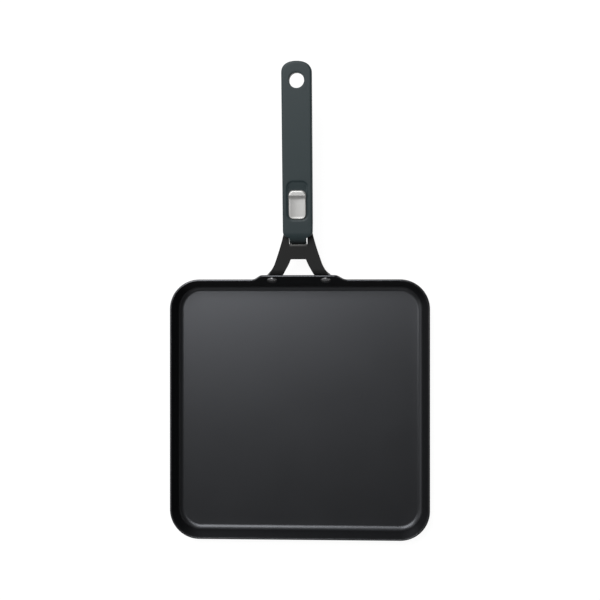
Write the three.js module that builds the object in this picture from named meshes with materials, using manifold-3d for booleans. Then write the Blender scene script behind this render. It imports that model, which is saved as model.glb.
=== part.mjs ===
// Square griddle pan with a plug-on handle.
// Millimetres, +Z up. The origin is the centre of the pan's underside, and the handle points along +Y.

import * as THREE from 'three';
import { mergeVertices } from 'three/addons/utils/BufferGeometryUtils.js';
import Module from 'manifold-3d';

// Pan: one pressed steel sheet
const RIM_SIDE = 280; // across the rim, outside
const RIM_HEIGHT = 20; // hob to the top of the rim
const RIM_CORNER = 32; // plan radius of the rim's corners
const PAN_SHEET = 2;
const WALL_ANGLE = THREE.MathUtils.degToRad(70); // wall above the horizontal
const FLOOR_FILLET = 6.5; // inside radius between floor and wall
const TAB_RISE = 12; // riveting tab above the rim
const TAB_WIDTH = 75; // level top of the tab
const TAB_SHOULDER = 14.4; // run of each S-shaped shoulder

// Rivets
const RIVET_SPACING = 57.5;
const RIVET_DROP = 8.5; // below the tab's edge, down the wall
const RIVET_SHANK = 6; // diameter
const RIVET_HEAD = 11.5; // diameter of the domed head inside the pan
const RIVET_DOME = 2.2; // height of that dome
const RIVET_TAIL = 9.5; // diameter of the head formed outside
const RIVET_TAIL_DOME = 2;

// Bracket: an A of steel sheet, bent over the tab
const BRACKET_SHEET = 2.5;
const BRACKET_BEND = 4.5; // inside radius between feet and plate
const PLATE_LIFT = 3; // plate above the tab's edge, up the wall
const HANDLE_ANGLE = THREE.MathUtils.degToRad(8); // plate and handle above the horizontal
const GAP_LENGTH = 15; // gap of the A, from the bend's corner to the crossbar
const GAP_WIDTH = 17.2; // gap of the A at the crossbar
const GAP_CORNER = 1.6;
const GAP_SWELL = 4; // how far each side of the gap bulges
const GAP_SWELL_DROP = 11.6; // place of that bulge, below the crossbar
const CROSSBAR = 15.9; // from the gap to the window
const FOOT_RADIUS = 8; // foot round its rivet
const LEG_SPREAD = 50.4; // across the legs where they start to flare
const FLARE_RUN = 10; // length of that flare above the bend's corner
const FLARE_DROP = 6.6; // length of that flare below it
const FLARE_START = 1.9; // height above the corner where the flare turns outwards
const FLARE_SWELL = 3.4; // how far each leg widens before it turns outwards
const NECK_SWELL = 2.3; // how far the plate bulges past the neck on each side
const NECK_LENGTH = 11; // window's front edge to the narrow neck
const NECK_TAPER = 6.5; // neck to the tail
const WINDOW_LENGTH = 11;
const WINDOW_CORNER = 1;
const TAIL_LENGTH = 27; // window's front edge to the end of the tail
const TAIL_CORNER = 3;

// Grip: two moulded shells
const GRIP_WIDTH = 31.3;
const GRIP_LENGTH = 189.1; // window's front edge to the rear end
const GRIP_FRONT = 7.3; // window's front edge to the front corners
const GRIP_RISE = 9; // top above the bracket's plate
const GRIP_EDGE = 2; // radius along the top edge
const GRIP_WALL = 2.8;
const GRIP_ROOF = 4;
const GRIP_CORNER = 7; // plan radius of the front corners
const GRIP_TIP = 11.9; // depth of the round rear end
const TIP_POWER = 2.3; // fullness of that end, 2 being an ellipse
const NOSE_BACK = 13; // where the top starts to fall towards the lip
const LIP_WIDTH = 17.6; // lip that goes down into the window
const LIP_THICKNESS = 2.2;
const LIP_SIDE_GAP = 0.9; // daylight on each side of the lip
const LIP_DEPTH = 2; // below the plate's top
const UNDERSIDE_WALL = 2.6; // below the bolt's channel
const UNDERSIDE_EDGE = 5; // inset of the underside's rounding
const UNDERSIDE_RISE = 2.5; // the underside climbs this far to the rear end
const LOWER_CORNER = 6; // plan radius of the lower shell's front corners
const LOWER_SETBACK = 2; // lower shell behind the bolt's front
const HOLE_RADIUS = 7.9; // hanging hole
const HOLE_SETBACK = 19.5; // its centre to the rear end
const BOSS_RADIUS = 4.5;

// Core: a bent steel tang that hooks under the crossbar
const CORE_SHEET = 2.5;
const CORE_WIDTH = 14;
const CORE_BEND = 1.2; // inside radius of its bends
const CORE_TOE = 5.5; // reach of the toe past the window's front edge
const CORE_OVERRUN = 8; // end of the core behind its rearmost screw

// Latch: button, bolt and spring
const TRAVEL = 8; // how far the button draws back
const BUTTON_FRONT = 27.2; // window's front edge to the button
const BUTTON_LENGTH = 30.1;
const BUTTON_WIDTH = 18;
const BUTTON_CORNER = 5;
const BUTTON_THICKNESS = 2.4;
const BUTTON_EDGE = 0.9; // rounding of its front and rear edges
const PAD_DISH = 0.5; // hollow of the thumb pad
const RIDGE_LENGTH = 7;
const RIDGE_RISE = 1.5;
const RIDGE_TURN = 1; // tightness of the ridge's roll
const POCKET_GAP = 0.8; // round the button, in plan
const POCKET_DEPTH = 1.7;
const BOLT_WIDTH = 12;
const BOLT_LENGTH = 24;
const BOLT_THICKNESS = 4.8;
const BOLT_NOSE = 3.3; // reach under the tail
const POST_SETBACK = 3.8; // bolt's front to its post
const POST_LENGTH = 7;
const POST_WIDTH = 6;
const PEG_RADIUS = 1.4;
const PEG_LENGTH = 7;
const SPRING_DIAMETER = 5;
const SPRING_WIRE = 0.8;
const SPRING_LENGTH = 23;
const SPRING_TURNS = 9;

// Screws
const SCREW_SHANK = 3; // diameter
const SCREW_HEAD = 5.4; // diameter
const SCREW_HEAD_HEIGHT = 1.4;
const SCREW_TIP_COVER = 2; // grip left above a screw's tip
const SCREW_MARGIN = 8; // core screws ahead of the pocket and behind it
const SHELL_SCREW_MARGIN = 12; // front shell screw behind the spring's seat
const HOLE_MARGIN = 20; // rear shell screw ahead of the hanging hole

// Clearances
const SEAT_GAP = 0.3; // between pieces that rest on each other
const RUN_GAP = 0.4; // between pieces that slide
const TAIL_GAP = 1.6; // tail of the bracket to the shell's walls
const SHANK_GAP = 0.2; // round a rivet or a screw, on the radius
const NOTCH_RUN = 4; // slope where the shell's walls step down beside the tail

// Fineness of the faceting
const ARC_STEPS = 6;
const ROUND_STEPS = 24;
const CORNER_STEPS = 10;
const TIP_STEPS = 20;
const COIL_STEPS = 12;
const WIRE_SIDES = 6;
const REACH = 400; // longer than any piece, for cutters
const BORE_LENGTH = 40; // rivet bores, through wall and foot but not across the pan
const OVERLAP = 1; // depth by which joined solids enter each other

const wasm = await Module();
wasm.setup();

// Solids

function solidFrom(geometry) {
  geometry.deleteAttribute('normal');
  geometry.deleteAttribute('uv');
  const merged = mergeVertices(geometry);
  const vertProperties = new Float32Array(merged.attributes.position.array);
  const triVerts = new Uint32Array(merged.index.array);
  return new wasm.Manifold(new wasm.Mesh({ numProp: 3, vertProperties, triVerts }));
}

function geometryFrom(solid) {
  const { vertProperties, triVerts } = solid.getMesh();
  const geometry = new THREE.BufferGeometry();
  geometry.setAttribute('position', new THREE.BufferAttribute(vertProperties, 3));
  geometry.setIndex(new THREE.BufferAttribute(triVerts, 1));
  geometry.computeVertexNormals();
  return geometry;
}

function extrude(shape, depth) {
  return new THREE.ExtrudeGeometry(shape, { depth, bevelEnabled: false, curveSegments: ARC_STEPS });
}

// A plan drawn in x and y, standing between two heights.
function prismAlongZ(plan, low, high) {
  return solidFrom(extrude(plan, high - low).translate(0, 0, low));
}

// A side view drawn in y and z, as wide as stated and centred on x = 0.
function prismAlongX(side, width) {
  const axes = new THREE.Matrix4().makeBasis(
    new THREE.Vector3(0, 1, 0),
    new THREE.Vector3(0, 0, 1),
    new THREE.Vector3(1, 0, 0),
  );
  return solidFrom(extrude(side, width).translate(0, 0, -width / 2).applyMatrix4(axes));
}

function rodAlongZ(y, radius, low, high, topRadius = radius) {
  const rod = new THREE.CylinderGeometry(topRadius, radius, high - low, ROUND_STEPS);
  return solidFrom(rod.rotateX(Math.PI / 2).translate(0, y, (low + high) / 2));
}

function block(width, front, back, low, high) {
  const box = new THREE.BoxGeometry(width, back - front, high - low);
  return solidFrom(box.translate(0, (front + back) / 2, (low + high) / 2));
}

// A rectangle with round corners, centred on x = 0.
function roundedPlan(width, front, back, radius) {
  const inner = width / 2 - radius;
  const plan = new THREE.Shape();
  plan.absarc(inner, front + radius, radius, -Math.PI / 2, 0);
  plan.absarc(inner, back - radius, radius, 0, Math.PI / 2);
  plan.absarc(-inner, back - radius, radius, Math.PI / 2, Math.PI);
  plan.absarc(-inner, front + radius, radius, Math.PI, 1.5 * Math.PI);
  return plan;
}

// A closed skin over a stack of rings with equally many points, counterclockwise from above.
function skinOver(rings) {
  const count = rings[0].length;
  const faces = [];
  for (let level = 0; level + 1 < rings.length; level++) {
    for (let i = 0; i < count; i++) {
      const here = level * count + i;
      const next = level * count + ((i + 1) % count);
      faces.push(here, next, next + count, here, next + count, here + count);
    }
  }
  const last = (rings.length - 1) * count;
  for (const [a, b, c] of THREE.ShapeUtils.triangulateShape(rings[0], [])) faces.push(a, c, b);
  for (const [a, b, c] of THREE.ShapeUtils.triangulateShape(rings.at(-1), [])) {
    faces.push(last + a, last + b, last + c);
  }
  const skin = new THREE.BufferGeometry().setFromPoints(rings.flat());
  skin.setIndex(faces);
  return solidFrom(skin);
}

// A turned piece: its profile runs from the axis, up and back to the axis, along y.
function turned(profile) {
  return new THREE.LatheGeometry(profile.map(([radius, along]) => new THREE.Vector2(radius, along)), ROUND_STEPS);
}

// Pan: its section and the frames that the bracket and the handle stand in

const outerFillet = FLOOR_FILLET + PAN_SHEET;
const halfSheet = PAN_SHEET / 2;

// Distance of the wall's outer face from the edge of the flat floor, at a height.
function wallOffset(height) {
  const aboveFillet = height - outerFillet * (1 - Math.cos(WALL_ANGLE));
  return outerFillet * Math.sin(WALL_ANGLE) + aboveFillet / Math.tan(WALL_ANGLE);
}

// Height where the outer face ends and the rounded cut edge starts.
function edgeStart(top) {
  return top - halfSheet * (1 + Math.cos(WALL_ANGLE));
}

const rimOffset = wallOffset(edgeStart(RIM_HEIGHT)) + halfSheet * (1 - Math.sin(WALL_ANGLE));
const floorHalf = RIM_SIDE / 2 - rimOffset;
const floorCorner = RIM_CORNER - rimOffset;
const tabTop = RIM_HEIGHT + TAB_RISE;

// The tab's frame: origin on the wall's outer face, level with the tab's edge; y points out, z up the wall.
const tabFrame = new THREE.Group();
tabFrame.position.set(0, floorHalf + wallOffset(tabTop), tabTop);
tabFrame.rotation.x = WALL_ANGLE - Math.PI / 2;
tabFrame.updateMatrix();

// The handle's frame: origin on top of the bracket's plate at the window's front edge; y runs along the handle.
const plateLength = GAP_LENGTH + CROSSBAR;
const handleFrame = new THREE.Group();
const bendCorner = new THREE.Vector3(0, SEAT_GAP, PLATE_LIFT).applyMatrix4(tabFrame.matrix);
handleFrame.rotation.x = HANDLE_ANGLE;
handleFrame.position.copy(bendCorner);
handleFrame.position.y += plateLength * Math.cos(HANDLE_ANGLE);
handleFrame.position.z += plateLength * Math.sin(HANDLE_ANGLE);
handleFrame.updateMatrix();

// Rivet bores in the tab's frame, one on each side.
function rivetBores(frame) {
  const bores = [-1, 1].map((side) => {
    const bore = new THREE.CylinderGeometry(
      RIVET_SHANK / 2 + SHANK_GAP, RIVET_SHANK / 2 + SHANK_GAP, BORE_LENGTH, ROUND_STEPS,
    );
    return solidFrom(bore.translate(side * RIVET_SPACING / 2, 0, -RIVET_DROP).applyMatrix4(frame));
  });
  return bores[0].add(bores[1]);
}

// Points round the edge of the flat floor, each with its outward normal and the height of the rim there.
function panOutline() {
  const outline = [];
  const addCorner = (signX, signY, from) => {
    const centre = floorHalf - floorCorner;
    for (let step = 0; step <= CORNER_STEPS; step++) {
      const angle = from + (step / CORNER_STEPS) * (Math.PI / 2);
      const normal = new THREE.Vector2(Math.cos(angle), Math.sin(angle));
      const x = signX * centre + floorCorner * normal.x;
      const y = signY * centre + floorCorner * normal.y;
      outline.push({ x, y, normal, top: RIM_HEIGHT });
    }
  };
  const addShoulder = (side) => {
    for (let step = 0; step <= CORNER_STEPS; step++) {
      const share = side > 0 ? step / CORNER_STEPS : 1 - step / CORNER_STEPS;
      const x = side * (TAB_WIDTH / 2 + TAB_SHOULDER * (1 - share));
      const top = RIM_HEIGHT + TAB_RISE * THREE.MathUtils.smootherstep(share, 0, 1);
      outline.push({ x, y: floorHalf, normal: new THREE.Vector2(0, 1), top });
    }
  };
  addCorner(1, -1, -Math.PI / 2);
  addCorner(1, 1, 0);
  addShoulder(1);
  addShoulder(-1);
  addCorner(-1, 1, Math.PI / 2);
  addCorner(-1, -1, Math.PI);
  return outline;
}

// The wall's section at one point, as [distance out, height] pairs: up the outside, over the edge, down the inside.
function panSection(top) {
  const section = [];
  for (let step = 0; step <= ARC_STEPS; step++) {
    const turn = (step / ARC_STEPS) * WALL_ANGLE;
    section.push([outerFillet * Math.sin(turn), outerFillet * (1 - Math.cos(turn))]);
  }
  const start = edgeStart(top);
  const middle = wallOffset(start) - halfSheet * Math.sin(WALL_ANGLE);
  for (let step = 0; step <= ARC_STEPS; step++) {
    const turn = WALL_ANGLE - Math.PI / 2 + (step / ARC_STEPS) * Math.PI;
    const height = start + halfSheet * (Math.cos(WALL_ANGLE) + Math.sin(turn));
    section.push([middle + halfSheet * Math.cos(turn), height]);
  }
  for (let step = ARC_STEPS; step >= 0; step--) {
    const turn = (step / ARC_STEPS) * WALL_ANGLE;
    section.push([FLOOR_FILLET * Math.sin(turn), outerFillet - FLOOR_FILLET * Math.cos(turn)]);
  }
  return section;
}

function panBody() {
  const columns = panOutline().map(({ x, y, normal, top }) =>
    panSection(top).map(([out, height]) => new THREE.Vector3(x + normal.x * out, y + normal.y * out, height)),
  );
  const rings = columns[0].map((_, level) => columns.map((column) => column[level]));
  return skinOver(rings).subtract(rivetBores(tabFrame.matrix));
}

// Domed head inside the pan, shank through wall and foot, formed head outside; y is the rivet's axis.
function rivet() {
  const inside = -PAN_SHEET - SEAT_GAP;
  const outside = SEAT_GAP + BRACKET_SHEET + SEAT_GAP;
  const profile = [];
  for (let step = 0; step <= ARC_STEPS; step++) {
    const turn = (step / ARC_STEPS) * (Math.PI / 2);
    profile.push([RIVET_HEAD / 2 * Math.sin(turn), inside - RIVET_DOME * Math.cos(turn)]);
  }
  profile.push([RIVET_SHANK / 2, inside], [RIVET_SHANK / 2, outside]);
  for (let step = ARC_STEPS; step >= 0; step--) {
    const turn = (step / ARC_STEPS) * (Math.PI / 2);
    profile.push([RIVET_TAIL / 2 * Math.sin(turn), outside + RIVET_TAIL_DOME * Math.cos(turn)]);
  }
  return turned(profile);
}

// Bracket, in the handle's frame: a bent strip seen from the side, cut to its plan and to its rear view

const bendAngle = WALL_ANGLE - HANDLE_ANGLE;
const footMiddle = RIVET_SPACING / 2;
const footEnd = PLATE_LIFT + RIVET_DROP;
const gripHalf = GRIP_WIDTH / 2;
const tailHalf = gripHalf - GRIP_WALL - TAIL_GAP;
const windowWidth = LIP_WIDTH + 2 * LIP_SIDE_GAP;

function bracketSide() {
  const outer = BRACKET_BEND + BRACKET_SHEET;
  const bendEnd = -plateLength + outer * Math.tan(bendAngle / 2);
  const footLength = footEnd + FOOT_RADIUS;
  const down = new THREE.Vector2(-Math.cos(bendAngle), -Math.sin(bendAngle));
  const through = new THREE.Vector2(Math.sin(bendAngle), -Math.cos(bendAngle));
  const tip = new THREE.Vector2(-plateLength, 0).addScaledVector(down, footLength);
  const side = new THREE.Shape();
  side.moveTo(tip.x, tip.y);
  side.absarc(bendEnd, -outer, outer, Math.PI / 2 + bendAngle, Math.PI / 2, true);
  side.lineTo(TAIL_LENGTH, 0);
  side.lineTo(TAIL_LENGTH, -BRACKET_SHEET);
  side.absarc(bendEnd, -outer, BRACKET_BEND, Math.PI / 2, Math.PI / 2 + bendAngle, false);
  tip.addScaledVector(through, BRACKET_SHEET);
  side.lineTo(tip.x, tip.y);
  return side;
}

// The A from above: tail, neck, flaring legs and the gap between them, with the window as a hole.
function bracketPlan() {
  const neckHalf = gripHalf - SHANK_GAP;
  const taperEnd = NECK_LENGTH + NECK_TAPER;
  const footOuter = footMiddle + FOOT_RADIUS;
  const footInner = footMiddle - FOOT_RADIUS;
  const flareEnd = -plateLength - FLARE_DROP;
  const gapEnd = -CROSSBAR;
  const gapHalf = GAP_WIDTH / 2;
  const plan = new THREE.Shape();
  plan.moveTo(tailHalf, taperEnd);
  plan.quadraticCurveTo(neckHalf, (NECK_LENGTH + taperEnd) / 2, neckHalf, NECK_LENGTH);
  plan.quadraticCurveTo(neckHalf + NECK_SWELL, 0, LEG_SPREAD / 2, -plateLength + FLARE_RUN);
  plan.quadraticCurveTo(LEG_SPREAD / 2 + FLARE_SWELL, -plateLength + FLARE_START, footOuter, flareEnd);
  plan.lineTo(footOuter, -REACH);
  plan.lineTo(footInner, -REACH);
  plan.lineTo(footInner, flareEnd);
  plan.quadraticCurveTo(gapHalf + GAP_SWELL, gapEnd - GAP_SWELL_DROP, gapHalf, gapEnd - GAP_CORNER);
  plan.absarc(gapHalf - GAP_CORNER, gapEnd - GAP_CORNER, GAP_CORNER, 0, Math.PI / 2);
  plan.absarc(GAP_CORNER - gapHalf, gapEnd - GAP_CORNER, GAP_CORNER, Math.PI / 2, Math.PI);
  plan.quadraticCurveTo(-gapHalf - GAP_SWELL, gapEnd - GAP_SWELL_DROP, -footInner, flareEnd);
  plan.lineTo(-footInner, -REACH);
  plan.lineTo(-footOuter, -REACH);
  plan.lineTo(-footOuter, flareEnd);
  plan.quadraticCurveTo(
    -LEG_SPREAD / 2 - FLARE_SWELL, -plateLength + FLARE_START, -LEG_SPREAD / 2, -plateLength + FLARE_RUN,
  );
  plan.quadraticCurveTo(-neckHalf - NECK_SWELL, 0, -neckHalf, NECK_LENGTH);
  plan.quadraticCurveTo(-neckHalf, (NECK_LENGTH + taperEnd) / 2, -tailHalf, taperEnd);
  plan.absarc(TAIL_CORNER - tailHalf, TAIL_LENGTH - TAIL_CORNER, TAIL_CORNER, Math.PI, Math.PI / 2, true);
  plan.absarc(tailHalf - TAIL_CORNER, TAIL_LENGTH - TAIL_CORNER, TAIL_CORNER, Math.PI / 2, 0, true);
  plan.holes.push(roundedPlan(windowWidth, 0, WINDOW_LENGTH, WINDOW_CORNER));
  return plan;
}

// The feet from behind, in the tab's frame: each ends in a half round about its rivet.
function bracketRear() {
  const rear = new THREE.Shape();
  rear.moveTo(-REACH, -RIVET_DROP);
  rear.absarc(-footMiddle, -RIVET_DROP, FOOT_RADIUS, Math.PI, 2 * Math.PI);
  rear.absarc(footMiddle, -RIVET_DROP, FOOT_RADIUS, Math.PI, 2 * Math.PI);
  rear.lineTo(REACH, -RIVET_DROP);
  rear.lineTo(REACH, REACH);
  rear.lineTo(-REACH, REACH);
  return rear;
}

function handleBracket() {
  const fromTab = handleFrame.matrix.clone().invert().multiply(tabFrame.matrix);
  const rear = extrude(bracketRear(), 2 * REACH).translate(0, 0, -REACH).rotateX(Math.PI / 2);
  return prismAlongX(bracketSide(), REACH)
    .intersect(prismAlongZ(bracketPlan(), -REACH, REACH))
    .intersect(solidFrom(rear.applyMatrix4(fromTab)))
    .subtract(rivetBores(fromTab));
}

// Levels in the handle's frame, from the bracket's plate at zero

const top = GRIP_RISE;
const ceiling = top - GRIP_ROOF;
const pocketFloor = top - POCKET_DEPTH;
const buttonLow = pocketFloor + SEAT_GAP;
const coreLow = RUN_GAP;
const coreTop = coreLow + CORE_SHEET;
const toeTop = -BRACKET_SHEET - RUN_GAP;
const toeLow = toeTop - CORE_SHEET;
const boltTop = coreLow - RUN_GAP;
const boltLow = boltTop - BOLT_THICKNESS;
const channelLow = boltLow - RUN_GAP;
const upperParting = -BRACKET_SHEET - SEAT_GAP;
const lowerParting = upperParting - SEAT_GAP;
const undersideLow = channelLow - UNDERSIDE_WALL;
const screwTip = top - SCREW_TIP_COVER;

// Places along the handle, from the window's front edge at zero

const lipFront = RUN_GAP;
const lipBack = lipFront + LIP_THICKNESS;
const hookFront = lipBack + SEAT_GAP;
const hookBack = hookFront + CORE_SHEET;
const buttonBack = BUTTON_FRONT + BUTTON_LENGTH;
const pocketFront = BUTTON_FRONT - POCKET_GAP;
const pocketBack = buttonBack + TRAVEL + POCKET_GAP;
const boltFront = TAIL_LENGTH + SEAT_GAP;
const boltBack = boltFront + BOLT_LENGTH;
const postFront = boltFront + POST_SETBACK;
const postBack = postFront + POST_LENGTH;
const postMiddle = (postFront + postBack) / 2;
const springFront = boltBack + SEAT_GAP;
const springSeat = springFront + SPRING_LENGTH + SEAT_GAP;
const lowerFront = boltFront + LOWER_SETBACK;
const coreScrews = [pocketFront - SCREW_MARGIN, pocketBack + SCREW_MARGIN];
const holeMiddle = GRIP_LENGTH - HOLE_SETBACK;
const shellScrews = [springSeat + SHELL_SCREW_MARGIN, holeMiddle - HOLE_MARGIN];
const coreEnd = shellScrews[0] + CORE_OVERRUN;

// Core, from the side: tang, hook down through the window and toe forward under the crossbar.
function handleCore() {
  const bendOut = CORE_BEND + CORE_SHEET;
  const side = new THREE.Shape();
  side.moveTo(coreEnd, coreLow);
  side.lineTo(coreEnd, coreTop);
  side.absarc(hookFront + bendOut, coreTop - bendOut, bendOut, Math.PI / 2, Math.PI, false);
  side.absarc(hookFront - CORE_BEND, toeTop + CORE_BEND, CORE_BEND, 0, -Math.PI / 2, true);
  side.lineTo(-CORE_TOE, toeTop);
  side.lineTo(-CORE_TOE, toeLow);
  side.absarc(hookBack - bendOut, toeLow + bendOut, bendOut, -Math.PI / 2, 0, false);
  side.absarc(hookBack + CORE_BEND, coreLow - CORE_BEND, CORE_BEND, Math.PI, Math.PI / 2, true);
  let core = prismAlongX(side, CORE_WIDTH).subtract(postSlot(-REACH, REACH));
  for (const y of coreScrews) core = core.subtract(sunkBore(y, coreLow, REACH));
  return core.subtract(rodAlongZ(shellScrews[0], SCREW_SHANK / 2 + SHANK_GAP, -REACH, REACH));
}

// Room for the bolt's post over the whole travel.
function postSlot(low, high) {
  return block(POST_WIDTH + 2 * RUN_GAP, postFront - RUN_GAP, postBack + TRAVEL + RUN_GAP, low, high);
}

// A bore for a screw whose sunk head lies flush at the low end.
function sunkBore(y, low, high) {
  const head = SCREW_HEAD / 2 + SHANK_GAP;
  const shank = SCREW_SHANK / 2 + SHANK_GAP;
  const sink = rodAlongZ(y, head, low, low + SCREW_HEAD_HEIGHT, shank);
  const mouth = rodAlongZ(y, head, low - SEAT_GAP, low);
  return sink.add(mouth).add(rodAlongZ(y, shank, low, high));
}

// Grip

// Points round the grip in plan, counterclockwise from above, each with its outward normal.
// The front has round corners and the rear end is a superellipse.
function gripOutline(front, corner) {
  const outline = [];
  const addCorner = (side, from) => {
    for (let step = 0; step <= ARC_STEPS; step++) {
      const angle = from + (step / ARC_STEPS) * (Math.PI / 2);
      const normal = new THREE.Vector2(Math.cos(angle), Math.sin(angle));
      const x = side * (gripHalf - corner) + corner * normal.x;
      outline.push({ x, y: front + corner + corner * normal.y, normal });
    }
  };
  addCorner(1, -Math.PI / 2);
  for (let step = 0; step <= TIP_STEPS; step++) {
    const angle = (step / TIP_STEPS) * Math.PI;
    const across = Math.sign(Math.cos(angle)) * Math.abs(Math.cos(angle)) ** (2 / TIP_POWER);
    const along = Math.abs(Math.sin(angle)) ** (2 / TIP_POWER);
    const slopeX = Math.sign(across) * Math.abs(across) ** (TIP_POWER - 1) / gripHalf;
    const normal = new THREE.Vector2(slopeX, along ** (TIP_POWER - 1) / GRIP_TIP).normalize();
    outline.push({ x: gripHalf * across, y: GRIP_LENGTH - GRIP_TIP + GRIP_TIP * along, normal });
  }
  addCorner(-1, Math.PI);
  return outline;
}

// One ring of the grip, drawn in from its outline; its height may depend on the place along the handle.
function gripRing(outline, inset, heightAt) {
  return outline.map(({ x, y, normal }) => {
    const along = y - normal.y * inset;
    return new THREE.Vector3(x - normal.x * inset, along, heightAt(along));
  });
}

// Side view of all that lies behind the falling nose.
function noseSide() {
  const side = new THREE.Shape();
  side.moveTo(lipFront, -REACH);
  side.absellipse(NOSE_BACK, -LIP_DEPTH, NOSE_BACK - lipFront, top + LIP_DEPTH, Math.PI, Math.PI / 2, true);
  side.lineTo(NOSE_BACK, REACH);
  side.lineTo(REACH, REACH);
  side.lineTo(REACH, -REACH);
  return side;
}

// The lip falls in front of the hook and ends in the window.
function lip() {
  const room = block(GRIP_WIDTH, lipBack, REACH, -REACH, coreTop + SEAT_GAP);
  return prismAlongX(noseSide(), LIP_WIDTH)
    .intersect(block(GRIP_WIDTH, 0, NOSE_BACK, -LIP_DEPTH, top))
    .subtract(room);
}

function upperShell() {
  const outline = gripOutline(GRIP_FRONT, GRIP_CORNER);
  const rings = [gripRing(outline, 0, () => upperParting)];
  for (let step = 0; step <= ARC_STEPS; step++) {
    const turn = (step / ARC_STEPS) * (Math.PI / 2);
    const height = top - GRIP_EDGE * (1 - Math.sin(turn));
    rings.push(gripRing(outline, GRIP_EDGE * (1 - Math.cos(turn)), () => height));
  }
  const cavity = skinOver([
    gripRing(outline, GRIP_WALL, () => upperParting - OVERLAP),
    gripRing(outline, GRIP_WALL, () => ceiling),
  ]);
  const notch = new THREE.Shape();
  const notchBack = NECK_LENGTH + NECK_TAPER + SEAT_GAP;
  notch.moveTo(-REACH, -REACH);
  notch.lineTo(notchBack + NOTCH_RUN, -REACH);
  notch.lineTo(notchBack + NOTCH_RUN, upperParting);
  notch.lineTo(notchBack, SEAT_GAP);
  notch.lineTo(-REACH, SEAT_GAP);

  let shell = skinOver(rings)
    .intersect(prismAlongX(noseSide(), 2 * GRIP_WIDTH))
    .subtract(cavity)
    .subtract(prismAlongX(notch, 2 * GRIP_WIDTH))
    .add(lip());
  shell = shell.add(rodAlongZ(holeMiddle, HOLE_RADIUS + GRIP_WALL, upperParting, ceiling + OVERLAP));
  for (const y of [...coreScrews, shellScrews[0]]) {
    shell = shell.add(rodAlongZ(y, BOSS_RADIUS, coreTop + SEAT_GAP, ceiling + OVERLAP));
  }
  shell = shell.add(rodAlongZ(shellScrews[1], BOSS_RADIUS, coreLow, ceiling + OVERLAP));

  const pocket = roundedPlan(BUTTON_WIDTH + 2 * POCKET_GAP, pocketFront, pocketBack, BUTTON_CORNER + POCKET_GAP);
  shell = shell.subtract(block(CORE_WIDTH + 2 * SEAT_GAP, lipBack, coreEnd, -REACH, coreTop + SEAT_GAP));
  shell = shell.subtract(prismAlongZ(pocket, pocketFloor, REACH));
  shell = shell.subtract(postSlot(coreTop, REACH));
  shell = shell.subtract(rodAlongZ(holeMiddle, HOLE_RADIUS, -REACH, REACH));
  for (const y of [...coreScrews, ...shellScrews]) {
    shell = shell.subtract(rodAlongZ(y, SCREW_SHANK / 2 + SHANK_GAP, -REACH, screwTip + SEAT_GAP));
  }
  return shell;
}

function lowerShell() {
  const outline = gripOutline(lowerFront, LOWER_CORNER);
  const lowAt = (y) => undersideLow + UNDERSIDE_RISE * (y - lowerFront) / (GRIP_LENGTH - lowerFront);
  const rings = [];
  for (let step = 0; step <= ARC_STEPS; step++) {
    const turn = (step / ARC_STEPS) * (Math.PI / 2);
    const heightAt = (y) => THREE.MathUtils.lerp(lowerParting, lowAt(y), Math.cos(turn));
    rings.push(gripRing(outline, UNDERSIDE_EDGE * (1 - Math.sin(turn)), heightAt));
  }
  let shell = skinOver(rings);
  for (const y of shellScrews) {
    shell = shell.add(rodAlongZ(y, BOSS_RADIUS, lowerParting - OVERLAP, coreLow - SEAT_GAP));
  }
  shell = shell.subtract(block(BOLT_WIDTH + 2 * RUN_GAP, 0, springSeat, channelLow, REACH));
  shell = shell.subtract(rodAlongZ(holeMiddle, HOLE_RADIUS, -REACH, REACH));
  for (const y of shellScrews) {
    shell = shell.subtract(rodAlongZ(y, SCREW_SHANK / 2 + SHANK_GAP, -REACH, REACH));
    shell = shell.subtract(rodAlongZ(y, SCREW_HEAD / 2 + RUN_GAP, -REACH, lowerParting));
  }
  return shell;
}

// Latch

// Thumb slide: a dished pad that runs up into a rolled ridge at the rear.
function slideButton() {
  const padTop = buttonLow + BUTTON_THICKNESS;
  const ridgeTop = padTop + RIDGE_RISE;
  const ridgeFront = buttonBack - RIDGE_LENGTH;
  const ridgeMiddle = buttonBack - RIDGE_LENGTH / 2;
  const side = new THREE.Shape();
  side.moveTo(BUTTON_FRONT, buttonLow);
  side.lineTo(BUTTON_FRONT, padTop - BUTTON_EDGE);
  side.quadraticCurveTo(BUTTON_FRONT, padTop, BUTTON_FRONT + BUTTON_EDGE, padTop);
  side.quadraticCurveTo((BUTTON_FRONT + ridgeFront) / 2, padTop - 2 * PAD_DISH, ridgeFront, padTop);
  side.bezierCurveTo(
    ridgeFront + RIDGE_TURN, padTop, ridgeMiddle - RIDGE_TURN, ridgeTop, ridgeMiddle, ridgeTop,
  );
  side.quadraticCurveTo(buttonBack, ridgeTop, buttonBack, padTop);
  side.lineTo(buttonBack, buttonLow);
  const plan = roundedPlan(BUTTON_WIDTH, BUTTON_FRONT, buttonBack, BUTTON_CORNER);
  const bore = rodAlongZ(postMiddle, SCREW_SHANK / 2 + SHANK_GAP, -REACH, buttonLow + BUTTON_THICKNESS / 2);
  return prismAlongX(side, BUTTON_WIDTH).intersect(prismAlongZ(plan, -REACH, REACH)).subtract(bore);
}

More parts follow.
